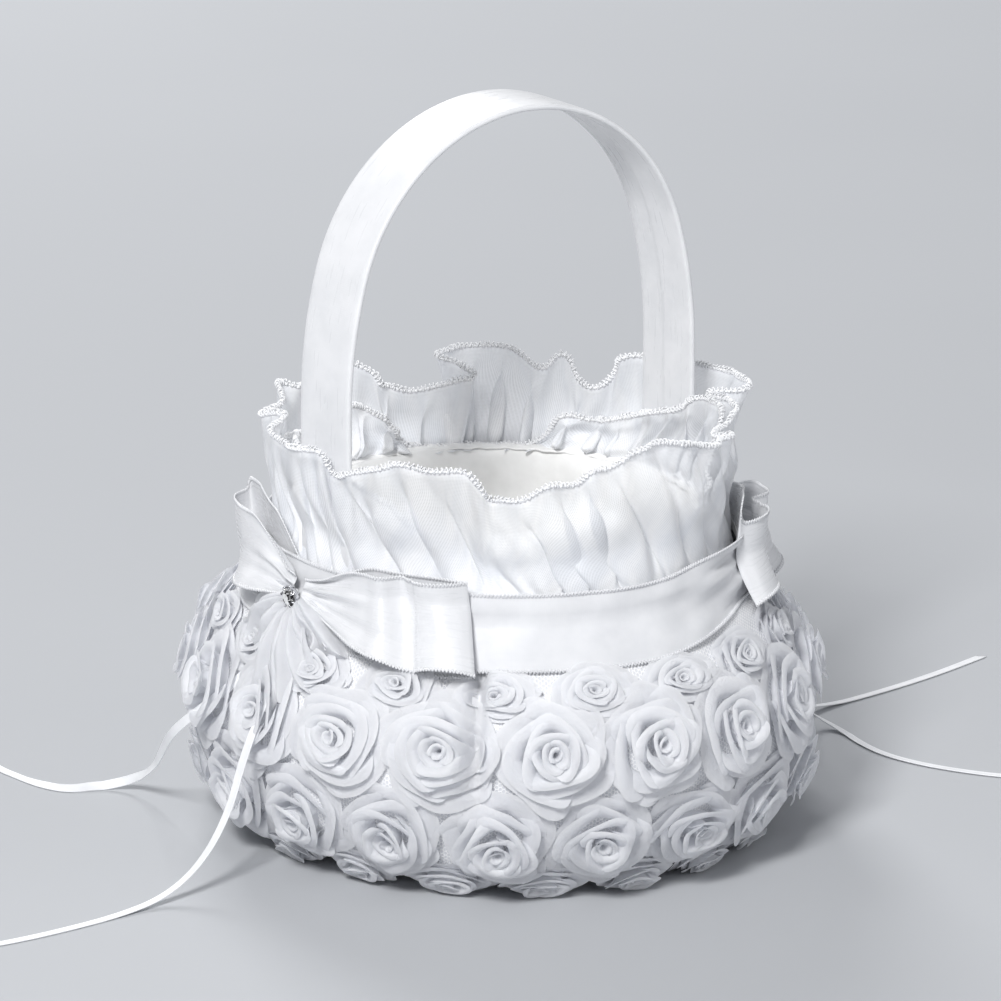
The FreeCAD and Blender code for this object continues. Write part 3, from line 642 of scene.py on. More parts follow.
def read_profile():
    """Heights, and the basket's half length at each, from rays cast at the CAD backing, then the frill."""
    mesh = NODES["rosette_backing"].data
    tree = BVHTree.FromPolygons([v.co for v in mesh.vertices], [tuple(p.vertices) for p in mesh.polygons])
    heights = np.linspace(BACKING_LOW[2] + 0.3, BACKING_HIGH[2] - 0.3, 90)
    reach = [tree.ray_cast(Vector((0, 1, z * METRES)), Vector((0, -1, 0)))[0].y / METRES for z in heights]
    frill_heights = [FRILL_HIGH[2] - 10, FRILL_HIGH[2]]
    return np.append(heights, frill_heights), np.append(reach, [FRILL_HIGH[1] - 0.6, FRILL_HIGH[1]])


HEIGHTS, HALF_LENGTHS = read_profile()
SLOPES = np.gradient(HALF_LENGTHS, HEIGHTS)
NECK = float(np.interp(BACKING_HIGH[2], HEIGHTS, HALF_LENGTHS))


def oval_point(turn, half_length, height):
    """Points on an oval, with any shapes that numpy can match."""
    turn, half_length, height = np.broadcast_arrays(turn, half_length, height)
    return np.stack([OVAL * half_length * np.cos(turn), half_length * np.sin(turn), height], axis=-1)


def turns_of(points):
    """The turn at each point."""
    return np.arctan2(points[..., 1], points[..., 0] / OVAL)


def halves_of(points):
    """The half length of the oval through each point."""
    return np.hypot(points[..., 0] / OVAL, points[..., 1])


def outside(turn, height, out=0.0):
    """Points at a distance out from the rosette fabric."""
    half = np.interp(height, HEIGHTS, HALF_LENGTHS)
    slope = np.interp(height, HEIGHTS, SLOPES)
    turn, half, slope, out = np.broadcast_arrays(turn, half, slope, out)
    normal = unit(np.stack([half * np.cos(turn), OVAL * half * np.sin(turn), -OVAL * half * slope], axis=-1))
    return oval_point(turn, half, height) + normal * out[..., None]


def loose_parts(node):
    """The middle of each separate solid of a CAD node, in order round the basket."""
    mesh = NODES[node].data
    group = list(range(len(mesh.vertices)))

    def root(index):
        while group[index] != index:
            group[index] = group[group[index]]
            index = group[index]
        return index

    same = {}
    for vertex in mesh.vertices:
        key = tuple(round(c, 6) for c in vertex.co)
        group[root(vertex.index)] = root(same.setdefault(key, vertex.index))
    for edge in mesh.edges:
        group[root(edge.vertices[0])] = root(edge.vertices[1])
    found = {}
    for vertex in mesh.vertices:
        found.setdefault(root(vertex.index), []).append(tuple(vertex.co))
    middles = [(np.min(points, axis=0) + np.max(points, axis=0)) / 2 / METRES for points in found.values()]
    return sorted(middles, key=lambda m: math.atan2(m[1], m[0]))


# ---------------------------------------------------------------- rosettes

# Each turn of petals, from the bud out: how many, their foot and rim radius as shares of the rosette's
# radius, and their height as a share of its height.
PETAL_TURNS = (
    (2, 0.03, 0.17, 0.84), (2, 0.11, 0.34, 0.95), (3, 0.24, 0.54, 1.0), (3, 0.42, 0.77, 0.80),
    (4, 0.60, 1.0, 0.52), (5, 0.74, 1.17, 0.26),
)
PETAL_COLUMNS = 13
PETAL_ROWS = 6
# How much longer a petal is than its share of the turn, and the most it may go round, in radians.
PETAL_OVERLAP = 1.62
PETAL_LONGEST = 4.4
# How much wider a petal winds from one end to the other, and how far its ends are rounded down.
PETAL_SPIRAL = 0.10
PETAL_ROUNDING = 0.72
# The most that a rosette leans over, is stretched or tilts, as shares of its size.
ROSETTE_LEAN = 0.09
ROSETTE_STRETCH = 0.09
ROSETTE_TILT = 0.2
# How tightly the basket bends under a rosette: radii across and up.
BODY_BEND_ACROSS = 95.0
BODY_BEND_UP = 58.0
# The lowest that a petal reaches.
PETAL_FLOOR = 0.35
# The fabric's seam, gathered into a valley: its turn, half width, depth and the height where it begins.
SEAM_TURN = math.radians(-133.8)
SEAM_HALF_WIDTH = 2.5
SEAM_DEPTH = 4.2
SEAM_FOOT = 34.0
# How far apart its stitches are, and how far each reaches to either side.
STITCH_LENGTH = 4.2
STITCH_HALF = 2.8


def petal(rng, middle, span, foot, rim, height):
    """One petal as a grid of (x, y, height) points: a broad band that stands on its foot and curls out.

    Here u runs along the petal from -1 to 1, and v from its foot to its rim.
    """
    u = np.linspace(-1, 1, PETAL_COLUMNS)[:, None]
    v = np.linspace(0, 1, PETAL_ROWS)[None, :] * (1 - PETAL_ROUNDING * np.abs(u) ** 6)
    angle = middle + u * span / 2
    corner = 1 / np.maximum(np.cos(np.clip(u * span / 2, -1.0, 1.0) * 0.9), 0.6)
    squared = 1 + 0.5 * (corner / corner.mean() - 1)
    radius = (foot + (rim - foot) * v ** 1.6) * (1 + PETAL_SPIRAL * u) * squared
    drop = 1 - (0.12 + 0.16 * rng.random()) * np.abs(u) ** 4
    tall = height * drop * (0.92 + 0.14 * rng.random())
    rise = np.sin(v * math.pi * (0.56 + 0.08 * rng.random()))
    phase = rng.random() * PHASES
    wave = np.sin(u * (2.4 + 2.0 * rng.random()) + phase) * v ** 2
    fold = np.abs(np.sin(u * 1.9 + phase * 0.7)) ** 8 * v ** 2
    crumple = np.sin(u * 8 + phase) * np.sin(v * 5 + phase * 2) + 0.6 * np.sin(u * 15 - phase) * v
    radius = radius + rim * (0.055 * wave + 0.04 * fold + 0.016 * crumple)
    tall = tall * rise + height * 0.06 * np.cos(u * 3.2 + phase) * v ** 2 - height * 0.12 * fold
    tall = np.maximum(tall, 0.1 * v + 0.05)
    points = np.stack([radius * np.cos(angle), radius * np.sin(angle), tall], axis=2)
    cloth = cloth_grid(u * span / 2 * rim, v * (height + rim - foot))
    return points, cloth, np.broadcast_to(v, radius.shape)


def seam_draw(points):
    """How far the seam lets a point stand off the net: nothing in the seam's middle, all of it elsewhere."""
    aside = (turns_of(points) - SEAM_TURN) * BACKING_HIGH[1] / SEAM_HALF_WIDTH
    reach = smooth_step(points[..., 2], SEAM_FOOT - 8, SEAM_FOOT + 6)
    return 1 - bell(aside, 0, 1) * reach


def add_rosette(build, rng, middle, radius, height, squash):
    """Winds a rosette's petals round its middle, on the skin of the basket."""
    turn = math.atan2(middle[1], middle[0] / OVAL)
    base = outside(turn, middle[2])
    side = np.array((-math.sin(turn) * OVAL, math.cos(turn), 0.0))
    side /= np.linalg.norm(side)
    normal = outside(turn, middle[2], 1.0) - base
    upward = np.cross(normal, side)
    start = rng.random() * PHASES
    lean = np.array((rng.uniform(-1, 1), rng.uniform(-1, 1))) * ROSETTE_LEAN * radius
    stretch = 1 + rng.uniform(-ROSETTE_STRETCH, ROSETTE_STRETCH)
    tilt = np.array((rng.uniform(-1, 1), rng.uniform(-1, 1))) * ROSETTE_TILT
    for number, foot, rim, tall in PETAL_TURNS:
        start += rng.uniform(0.4, 1.2)
        for k in range(number):
            span = min(2 * math.pi / number * PETAL_OVERLAP * rng.uniform(0.92, 1.08), PETAL_LONGEST)
            centre = start + 2 * math.pi * (k + rng.uniform(-0.1, 0.1)) / number
            size = radius * rng.uniform(0.94, 1.06)
            points, cloth, rims = petal(rng, centre, span, foot * size, rim * size, tall * height)
            x = points[..., 0] * stretch + lean[0] * (1 - rim)
            y = points[..., 1] / stretch * squash + lean[1] * (1 - rim)
            skin = base + x[..., None] * side + y[..., None] * upward
            skin -= (x ** 2 / (2 * BODY_BEND_ACROSS) + y ** 2 / (2 * BODY_BEND_UP))[..., None] * normal
            draw = seam_draw(skin)
            leaning = np.maximum(1 + (x * tilt[0] + y * tilt[1]) / radius, 0.2)
            stand = (points[..., 2] * leaning + 0.3) * draw - (SEAM_DEPTH - 0.6) * (1 - draw)
            placed = skin + stand[..., None] * normal
            placed[..., 2] = np.maximum(placed[..., 2], PETAL_FLOOR)
            build.grid(placed, cloth, rims)


def make_row(row, radius, height, squash, seed):
    """One row of roses, a rose on each rosette of the CAD node."""
    node = "rosettes_" + row
    rng = random.Random(seed)
    build = Build()
    for middle in loose_parts(node):
        around, tall = radius * rng.uniform(0.96, 1.06), height * rng.uniform(0.92, 1.1)
        add_rosette(build, rng, middle, around, tall, squash)
    subdivide(build.make("roses_" + row, "chiffon", [node]))


make_row("upper_row", radius=15.6, height=8.6, squash=1.0, seed=11)
make_row("lower_row", radius=15.6, height=8.0, squash=0.94, seed=12)
make_row("waist_row", radius=13.0, height=5.2, squash=0.62, seed=13)
make_row("base_row", radius=13.2, height=5.4, squash=0.56, seed=14)

# The strip of net that is turned in underneath.
HEM_WIDTH = 9.0


def make_backing():
    """The net that carries the rosettes, drawn in a little between them and turned in underneath."""
    rng = np.random.default_rng(5)
    turn = full_turns(480)
    height = np.linspace(BACKING_LOW[2] + 0.4, BACKING_HIGH[2] - 0.4, 84)[None, :]
    ripple = np.zeros(np.broadcast_shapes(turn.shape, height.shape))
    for count in (9, 18, 31, 54, 90):
        a, b = rng.uniform(0, PHASES, 2)
        wave = np.sin(count * turn + a + height * count / 90) * np.sin(height * 0.16 + b)
        ripple = ripple + wave / math.sqrt(count)
    calm = smooth_step(height, RIBBON_LOW[2] + 2, RIBBON_LOW[2] - 8)
    points = outside(turn, height, ripple * 1.2 * calm)
    points = points - away(points) * (SEAM_DEPTH * (1 - seam_draw(points)))[..., None]
    round_turn = turn * BACKING_HIGH[1]
    turned_in = np.linspace(1.0, 0.0, 5)[None, :-1]
    foot = float(np.interp(BACKING_LOW[2], HEIGHTS, HALF_LENGTHS))
    hem = oval_point(turn, foot - HEM_WIDTH * turned_in, BACKING_LOW[2] + 0.2 * (1 - turned_in))
    points = np.concatenate([hem, points], axis=1)
    cloth = [cloth_grid(round_turn, -HEM_WIDTH * turned_in), cloth_grid(round_turn, height)]
    build = Build()
    build.grid(points, np.concatenate(cloth, axis=1), round_columns=True)
    build.make("backing_net", "tulle", ["rosette_backing"])


make_backing()


def make_seam_stitches():
    """Thread drawn across the seam's valley, about every stitch length."""
    build = Build()
    share = np.linspace(-1, 1, 9)
    for k, height in enumerate(np.arange(SEAM_FOOT + 4, RIBBON_LOW[2] - 1, STITCH_LENGTH)):
        turn = SEAM_TURN + share * STITCH_HALF / BACKING_HIGH[1]
        lean = 1.6 * share * (1 if k % 2 else -0.6)
        line = outside(turn, height + lean, 0.9 - (SEAM_DEPTH - 0.4) * (1 - share ** 2))
        tube(build, line, 0.22, 6, closed=False)
    build.make("seam_stitches", "crochet_thread")


# ---------------------------------------------------------------- frills

# The free edge of the outer frill, all the way round, as (degrees of turn, half length, height). Where the
# photograph shows it, its points were picked there and placed with the fitted camera. The rest is made up.
OUTER_EDGE = (
    (-177, 78, 130.3), (-174.3, 74.5, 123.3), (-166.5, 75.5, 126.5), (-158, 77.5, 130.3), (-153.3, 77, 132.5),
    (-148, 77.5, 131.4), (-140, 76, 131.8), (-136.2, 76.5, 130.3), (-132.6, 73.5, 123.2), (-129, 74.5, 123),
    (-123.6, 77.5, 124.2), (-118.2, 78, 128.1), (-110.8, 75, 127.6), (-107.5, 77.5, 131.6),
    (-103.2, 76.5, 131.9), (-99.8, 78, 134.3), (-93.5, 77.5, 136.8), (-87, 77, 137), (-78.3, 78, 134.2),
    (-70, 78, 131.3),
    (-58.6, 77.5, 130.5), (-54, 71.5, 128.5), (-44, 70.5, 126.5), (-35, 76, 128.6), (-27, 77, 129.5),
    (-17, 73.4, 129), (-19.5, 84, 130), (-15, 88.5, 131), (-7, 88.5, 130.6), (3, 87, 130.2),
    (12, 79.5, 130.6), (18.5, 76, 129.6), (22.5, 77, 121.5), (26, 74.2, 118.8), (30, 75.2, 120.3),
    (33.5, 77.2, 126.2), (36, 77, 127.3), (39.3, 74.2, 123.6), (43, 75.5, 124.3), (48.2, 78, 128.4),
    (54.6, 78, 129.2), (64, 77, 128.2), (67, 73, 127.5), (60.5, 67.5, 124.8), (58, 64.8, 122.6),
    (63, 66.4, 121), (68.5, 69.5, 118.4), (75, 73.2, 116.4), (79.8, 76, 118.2), (83.3, 73.6, 119.6),
    (86, 74.6, 124.4), (92.7, 78, 128.3), (99, 74, 127), (106, 77.5, 124.5), (113, 74.2, 126.4),
    (120, 78, 129), (128, 74, 126.2), (136, 77.5, 125.2), (143, 74, 128.5), (150, 72.6, 130.6),
    (154, 71.2, 131.6), (161, 78.5, 129.6), (168, 77, 127.4), (175, 78.5, 128.9),
)
# The same for the inner frill, which stands high beside the handle's legs.
INNER_EDGE = (
    (-180, 69.5, 121), (-165, 67, 117), (-150, 69, 109), (-135, 67.6, 102.6), (-110, 68.6, 101.4),
    (-85, 67.8, 101.8), (-62, 69.5, 107), (-46, 68, 119), (-36, 72, 128.5), (-27, 70.6, 130), (-21, 67, 129),
    (-10, 66, 122), (2, 65, 117.8), (12, 67, 113.6), (18.7, 66, 111.4), (24, 68, 110), (32.6, 66, 110.4),
    (38, 68, 103), (44, 68, 99.5), (60, 67.8, 98.8), (76, 68, 99.6), (81.5, 66.6, 104), (86, 64.6, 110),
    (92, 66.6, 114.6), (99.6, 65.4, 118), (112, 67.5, 120), (124, 66, 117), (138, 68.8, 119), (152, 67, 123),
    (166, 69, 120),
)


def closed_curve(points, count):
    """An even, smooth closed curve through the points (Catmull-Rom)."""
    points = np.asarray(points, float)
    before, after, second = np.roll(points, 1, 0), np.roll(points, -1, 0), np.roll(points, -2, 0)
    s = np.linspace(0, 1, 24, endpoint=False)[None, :, None]
    p0, p1, p2, p3 = (a[:, None, :] for a in (before, points, after, second))
    curve = 0.5 * (2 * p1 + (p2 - p0) * s + (2 * p0 - 5 * p1 + 4 * p2 - p3) * s ** 2
                   + (3 * p1 - p0 - 3 * p2 + p3) * s ** 3)
    curve = curve.reshape(-1, 3)
    return even_line(np.concatenate([curve, curve[:1]]), count, whole=False)


FRILL_ROWS = 18
# How far a frill is drawn in a little above its foot.
FRILL_NECK = 3.0
# A frill's fine pleats: how many go round, their depth, and between which shares of the height they show.
FRILL_PLEATS = ((170, 0.5, 0.0, 0.45), (97, 0.75, 0.05, 0.8), (58, 1.0, 0.2, 1.0), (37, 0.9, 0.3, 1.3))
# Its tucks: how many go round, how many radians of their wave they slant by on their way up, how much more
# or less than that, the turn where they slant most, and their depth.
TUCKS = 34
TUCK_SLANT = 6.0
TUCK_SLANT_EXTRA = 4.0
TUCK_SLANT_MIDDLE = 1.4
TUCK_DEPTH = 4.6


def foot_turns(edge):
    """A turn at the frill's foot for each point of its free edge, with none of the edge's small folds."""
    columns = len(edge)
    turns = np.unwrap(turns_of(edge))
    steady = np.linspace(turns[0], turns[0] + 2 * math.pi, columns, endpoint=False)
    drift = turns - steady
    wide = columns // 24
    kernel = np.hanning(2 * wide + 1)
    padded = np.concatenate([drift[-wide:], drift, drift[:wide]])
    return steady + np.convolve(padded, kernel / kernel.sum(), "valid")


def frill_sheet(edge_points, foot_half, foot_height, columns, seed):
    """A gathered sheet from an oval foot to a wavy free edge, with pleats and slanting tucks."""
    rng = np.random.default_rng(seed)
    degrees, halves, heights = np.array(edge_points).T
    edge = closed_curve(oval_point(np.radians(degrees), halves, heights), columns)
    foot = oval_point(foot_turns(edge), foot_half, foot_height)[:, None, :]
    top = edge[:, None, :]
    v = np.linspace(0, 1, FRILL_ROWS)[None, :, None]
    rise = v[..., 0]
    blend = v ** 1.15
    points = foot * (1 - blend) + top * blend
    points = points - away(points) * FRILL_NECK * bell(v, 0.3, 0.22)
    points[..., 2] = foot[..., 2] * (1 - rise) + top[..., 2] * rise
    along = np.roll(points, -1, 0) - np.roll(points, 1, 0)
    sideways = unit(np.cross(along, UP))
    share = np.arange(columns)[:, None] / columns * 2 * math.pi
    slant = TUCK_SLANT + TUCK_SLANT_EXTRA * np.cos(share - TUCK_SLANT_MIDDLE)
    # The pleats push the sheet in and out.
    push = 0
    for count, size, low, high in FRILL_PLEATS:
        phase, stray = rng.uniform(0, PHASES), rng.uniform(-3.0, 3.0)
        warp = 0.6 * np.sin(7 * share + phase) + 0.5 * np.sin(13 * share - phase * 1.7)
        shown = smooth_step(rise, low - 0.15, low + 0.15) * (1 - smooth_step(rise, high - 0.3, high + 0.1))
        swell = 0.65 + 0.35 * np.sin(5 * share + 2 * phase)
        lean = (slant * count / TUCKS + stray * 0.4) * rise
        push = push + size * shown * swell * np.sin(count * share + warp * 2.5 + lean + phase)
    points = points + sideways * push[..., None]
    # The tucks swing it sideways too, until it laps over itself.
    phase = rng.uniform(0, PHASES)
    tuck = TUCKS * share + 2.4 * np.sin(5 * share + phase) + 1.6 * np.sin(11 * share - phase) + slant * rise
    size = TUCK_DEPTH * (0.7 + 0.3 * np.sin(7 * share + 2 * phase))
    size = size * smooth_step(rise, 0.0, 0.3) * smooth_step(rise, 1.0, 0.55)
    swing = unit(along) * np.sin(tuck)[..., None] + sideways * 0.45 * np.cos(tuck)[..., None]
    points = points + swing * size[..., None]
    across = np.arange(columns)[:, None] * lengths_along(edge)[-1] / columns
    return points, cloth_grid(across, rise * (edge[:, 2:3] - foot_height)), np.broadcast_to(rise, push.shape)


def tube(build, line, radius, sides=6, closed=True):
    """A round thread along a line."""
    if closed:
        along = unit(np.roll(line, -1, 0) - np.roll(line, 1, 0))
    else:
        along = unit(np.gradient(line, axis=0))
    # A direction that no thread here runs along.
    askew = np.array((0.31, 0.27, 0.91))
    side = unit(np.cross(along, askew))
    other = np.cross(along, side)
    angle = np.linspace(0, 2 * math.pi, sides, endpoint=False)[None, :, None]
    spoke = side[:, None, :] * np.cos(angle) + other[:, None, :] * np.sin(angle)
    points = line[:, None, :] + radius * spoke
    cloth = cloth_grid(np.arange(len(line))[:, None] * radius, np.arange(sides)[None, :] * radius)
    build.grid(points, cloth, round_columns=closed, round_rows=True)


# Points in each loop of the looped thread.
LOOP_POINTS = 9
# The edging follows about this many points of the frill's edge.
EDGING_GUIDES = 260


def make_edging(name, edge, node, loops):
    """A crocheted edging: a cord on the cloth's edge with a thread looped round it and picots on top."""
    build = Build()
    count = loops * LOOP_POINTS
    line = closed_curve(edge[:: max(1, len(edge) // EDGING_GUIDES)], count)
    tube(build, line, 0.42)
    along = unit(np.roll(line, -1, 0) - np.roll(line, 1, 0))
    up = unit(UP - along * along[:, 2:3])
    side = np.cross(along, up)
    turn = (np.arange(count) / LOOP_POINTS * 2 * math.pi)[:, None]
    wobble = 1 + 0.16 * np.sin(turn * 0.137) + 0.1 * np.sin(turn * 0.411)
    loop = line + up * (0.35 + 0.85 * np.cos(turn)) * wobble + side * 0.8 * np.sin(turn) * wobble
    tube(build, loop, 0.24, 5)
    back = line + up * (0.2 - 0.7 * np.cos(turn * 2 / 3)) + side * 0.62 * np.sin(turn * 2 / 3)
    tube(build, back, 0.2, 5)
    return build.make(name, "crochet_thread", [node])


def make_frill(layer, edge_points, foot_half, sunk, columns, loops, seed):
    """One organza frill and its edging. Its foot is sunk this far under the CAD frill's."""
    node = layer + "_frill"
    name = "organza_frill_" + layer
    low = box_mm(node)[0][2] - sunk
    points, cloth, rims = frill_sheet(edge_points, foot_half, low, columns, seed)
    edge = points[:, -1]
    build = Build()
    build.grid(points, cloth, rims, round_columns=True)
    piece = build.make(name, "organza", [node])
    subdivide(piece)
    trim = make_edging(name + "_crochet_edge", edge, node + "_edging", loops)


INNER_FOOT = box_mm("inner_frill")[1][1] - 1.9
make_frill("outer", OUTER_EDGE, foot_half=NECK + 0.9, sunk=0.0, columns=1100, loops=420, seed=21)
make_frill("inner", INNER_EDGE, foot_half=INNER_FOOT, sunk=2.0, columns=800, loops=330, seed=22)


# ---------------------------------------------------------------- ribbon and bows

RIBBON_WIDTH = 25.0
# The waist's half length, which its cloth coordinates are measured with.
WAIST_HALF = 82
# The loops of a woven edge: how far they reach, and how far apart they are.
TOOTH_SIZE = 0.55
TOOTH_STEP = 1.1
# Where the ribbon begins to stand out over the gathering tape.
TAPE_FOOT = box_mm("gathering_tape")[0][2]
# The turn at each stone.
STONE_TURNS = {-1: math.pi, 1: 0}


def add_selvages(build, ribbon):
    """The woven loops along a ribbon's two edges: a thread that goes out and back once every step."""
    for edge, inward in ((0, 1), (-1, -2)):
        line = ribbon[:, edge]
        run = lengths_along(line)
        wanted = np.linspace(0, run[-1], int(run[-1] / TOOTH_STEP) * 6)
        swing = np.cos(wanted / TOOTH_STEP * 2 * math.pi)[:, None]
        upward = at_lengths(unit(line - ribbon[:, inward]), run, wanted)
        thread = at_lengths(line, run, wanted) + upward * TOOTH_SIZE * swing
        thread = thread + at_lengths(away(line), run, wanted) * 0.18
        tube(build, thread, 0.26, 5, closed=False)


def make_waist_ribbon():
    """The satin ribbon round the waist, drawn up where it runs under the right bow."""
    columns, rows = 520, 11
    turn = full_turns(columns)
    w = np.linspace(-1, 1, rows)[None, :]
    degrees = np.degrees(turn)
    drawn = smooth_step(degrees, -96, -52) * smooth_step(degrees, -20, -40)
    middle = (RIBBON_LOW[2] + RIBBON_HIGH[2]) / 2 + 5.0 * drawn
    half = (RIBBON_HIGH[2] - RIBBON_LOW[2]) / 2 + 0.9
    height = middle + w * half * (1 - 0.08 * drawn)
    folds = drawn * (1.6 * np.sin(w * 5 + degrees * 0.16) + 0.9 * np.sin(w * 9 - degrees * 0.1))
    slack = 0.5 * np.sin(turn * 11 + w) + 0.35 * np.sin(turn * 23 - 2 * w)
    belly = 0.9 * (1 - w ** 2)
    out = 0.9 + 1.7 * belly + slack * 0.5 + folds + 0.7 * drawn
    out = out + 1.9 * smooth_step(height, TAPE_FOOT - 4, TAPE_FOOT)
    points = outside(turn, height, out)
    build = Build()
    build.grid(points, cloth_grid(turn * WAIST_HALF, w * half), round_columns=True)
    ring = points[np.r_[0:columns, 0]]
    add_selvages(build, ring)
    piece = build.make("satin_waist_ribbon", "shaded_waist_satin", ["waist_ribbon"])


BOW_REACH = box_mm("bow_left")[1][1]
# The height of the bows' middles, and half their height there.
PINCH_HEIGHT = (box_mm("stone_setting_left")[0][2] + box_mm("stone_setting_left")[1][2]) / 2
PINCH_HALF = 3.4
# How far a loop's outer layer stands off the basket along it, as (share of its length, millimetres). A front
# loop is pressed into a crease.
FRONT_RISE = ((0, 6.3), (0.1, 5.8), (0.28, 7.2), (0.46, 9.6), (0.58, 10.2), (0.64, 5.6), (0.67, 5.2),
              (0.73, 8.4), (0.82, 10.6), (0.92, 9.0), (1.0, 5.0))
BACK_RISE = ((0, 6.3), (0.15, 6.0), (0.4, 8.6), (0.7, 10.8), (0.9, 9.4), (1.0, 5.6))
# Each loop's end: swing at its foot and head in degrees from the stone, the heights of the foot and head,
# and how much higher the inner layer's head is. The front loops are at -Y.
LOOPS = {
    ("left", -1): (44.6, 42.2, 69.8, 98.0, 0.0),
    ("left", 1): (30.0, 33.0, 76.5, 105.0, 4.0),
    ("right", -1): (58.0, 57.0, 75.0, 102.0, 8.0),
    ("right", 1): (41.0, 42.0, 74.0, 99.5, 3.0),
}


def smooth_table(table, share):
    """A smooth curve through a table of (share, value)."""
    shares, values = (np.array(column, float) for column in zip(*table))
    slopes = np.gradient(values, shares)
    index = np.clip(np.searchsorted(shares, share, side="right") - 1, 0, len(shares) - 2)
    width = shares[index + 1] - shares[index]
    s = (share - shares[index]) / width
    start, end = values[index], values[index + 1]
    rise, fall = width * slopes[index], width * slopes[index + 1]
    return (start * (2 * s ** 3 - 3 * s ** 2 + 1) + end * (3 * s ** 2 - 2 * s ** 3)
            + rise * (s ** 3 - 2 * s ** 2 + s) + fall * (s ** 3 - s ** 2))


def loop_points(side_name, facing, side, rng):
    """One loop of a bow: out along its outer layer, round its end and back along the inner layer."""
    foot_swing, head_swing, foot, head, lift = LOOPS[side_name, side]
    back = side > 0
    # r goes from 0 at the stone to 1 at the loop's end and 2 at the stone again, w from foot to head.
    r = np.linspace(0, 2, 120)[:, None]
    w = np.linspace(-1, 1, 23)[None, :]
    share = np.where(r <= 1, r, 2 - r)
    outer = smooth_step(r, 1.05, 0.95)
    inner = 1 - outer
    lower = PINCH_HEIGHT - PINCH_HALF - (PINCH_HEIGHT - PINCH_HALF - foot) * smooth_step(share, -0.06, 0.66)
    upper = PINCH_HEIGHT + PINCH_HALF + (head - PINCH_HEIGHT - PINCH_HALF) * smooth_step(share, -0.05, 0.46)
    upper = upper + lift * inner * smooth_step(share, 0.3, 0.95)
    height = lower + (upper - lower) * (w + 1) / 2
    swing = np.radians(foot_swing + (head_swing - foot_swing) * (w + 1) / 2)
    leaning = np.clip(share + 0.03 * w * smooth_step(share, 0.5, 0.7), 0, 1)
    rise = smooth_table(BACK_RISE if back else FRONT_RISE, leaning)
    press = (0.45 if back else 0.1) * smooth_step(w, 0.2, -1.0) * smooth_step(share, 0.5, 1.0)
    tuck = 1.4 + 0.6 * share + 2.2 * smooth_step(share, 0.8, 1.0)
    out = rise * (1 - press) * outer + tuck * inner
    phase = rng.random() * PHASES
    near = smooth_step(share, 0.60, 0.06) * smooth_step(share, -0.02, 0.1)
    pleats = 1.5 * np.sin(w * 6.4 + phase) + 0.7 * np.sin(w * 12.5 + phase)
    turned_in = -1.7 * bell(w, -0.56, 0.13) * smooth_step(share, 0.72, 0.3) * smooth_step(share, 0, 0.12)
    out = out + (pleats * near + turned_in) * outer
    out = out + 0.8 * (1 - w ** 2) * outer * smooth_step(share, 0, 0.3)
    second_crease = 0 if back else -1.2 * bell(share, 0.705, 0.012) * outer
    out = np.maximum(out + second_crease, 0.9)
    turn = STONE_TURNS[facing] + facing * side * (math.radians(1.6) + swing * share)
    return outside(turn, height, out), cloth_grid(r * BOW_REACH, w * RIBBON_WIDTH / 2)


def make_bow(side_name, facing, seed):
    """A bow's front and back loop."""
    rng = random.Random(seed)
    build = Build()
    for side in (-1, 1):
        points, cloth = loop_points(side_name, facing, side, rng)
        build.grid(points, cloth)
        add_selvages(build, points)
    piece = build.make("satin_bow_" + side_name, "satin_ribbon", ["bow_" + side_name])


# The gathered fabric under a stone: its folds, their longest reach, how far they stand off the basket at
# the stone, and how far they spread to each side.
FAN_FOLDS = 19
FAN_REACH = 32.0
FAN_OUT = 5.4
FAN_SPREAD = math.radians(70)


def make_fan(side_name, facing, seed):
    """The rosette fabric gathered under the stone: long folds of chiffon that spread downwards."""
    rng = random.Random(seed)
    build = Build()
    u = np.linspace(-1, 1, 15)[:, None]
    share = np.linspace(0, 1, 14)[None, :]
    round_end = np.sqrt(1 - np.clip((share - 0.6) / 0.4, 0, 1) ** 2 * 0.97)
    for k in range(FAN_FOLDS):
        lean = FAN_SPREAD * (2 * k / (FAN_FOLDS - 1) - 1) + rng.uniform(-0.09, 0.09)
        long = FAN_REACH * rng.uniform(0.5, 1.0)
        wide = (1.1 + 4.6 * share ** 0.9) * rng.uniform(0.8, 1.3) * round_end
        phase = rng.random() * PHASES
        across = u * wide + 1.4 * np.sin(share * 4 + phase) * share
        along = 1.5 + long * share + 0.8 * np.sin(u * 3 + phase) * share
        aside = along * math.sin(lean) + across * math.cos(lean)
        height = PINCH_HEIGHT - 1.5 - along * math.cos(lean) + across * math.sin(lean)
        fold = 1.9 * np.cos(u * (2.8 + rng.random()) + phase) * smooth_step(share, 0, 0.25)
        fine = 0.5 * np.sin(u * 7 + phase * 2) + 0.5 * np.sin(share * 15 + u * 2 + phase) * share
        layer = 2.2 * rng.random()
        out = FAN_OUT + (1.4 + layer) * smooth_step(share, 0.0, 0.3) + fold + fine
        out = np.maximum(out - FAN_OUT * smooth_step(share, 0.5, 1.0) - 1.4 * np.abs(u) ** 3, 0.8)
        turn = STONE_TURNS[facing] + aside / np.interp(height, HEIGHTS, HALF_LENGTHS)
        rims = np.broadcast_to(share, height.shape)
        build.grid(outside(turn, height, out), cloth_grid(across, along), rims)
    subdivide(build.make("pleated_fan_" + side_name, "chiffon"))


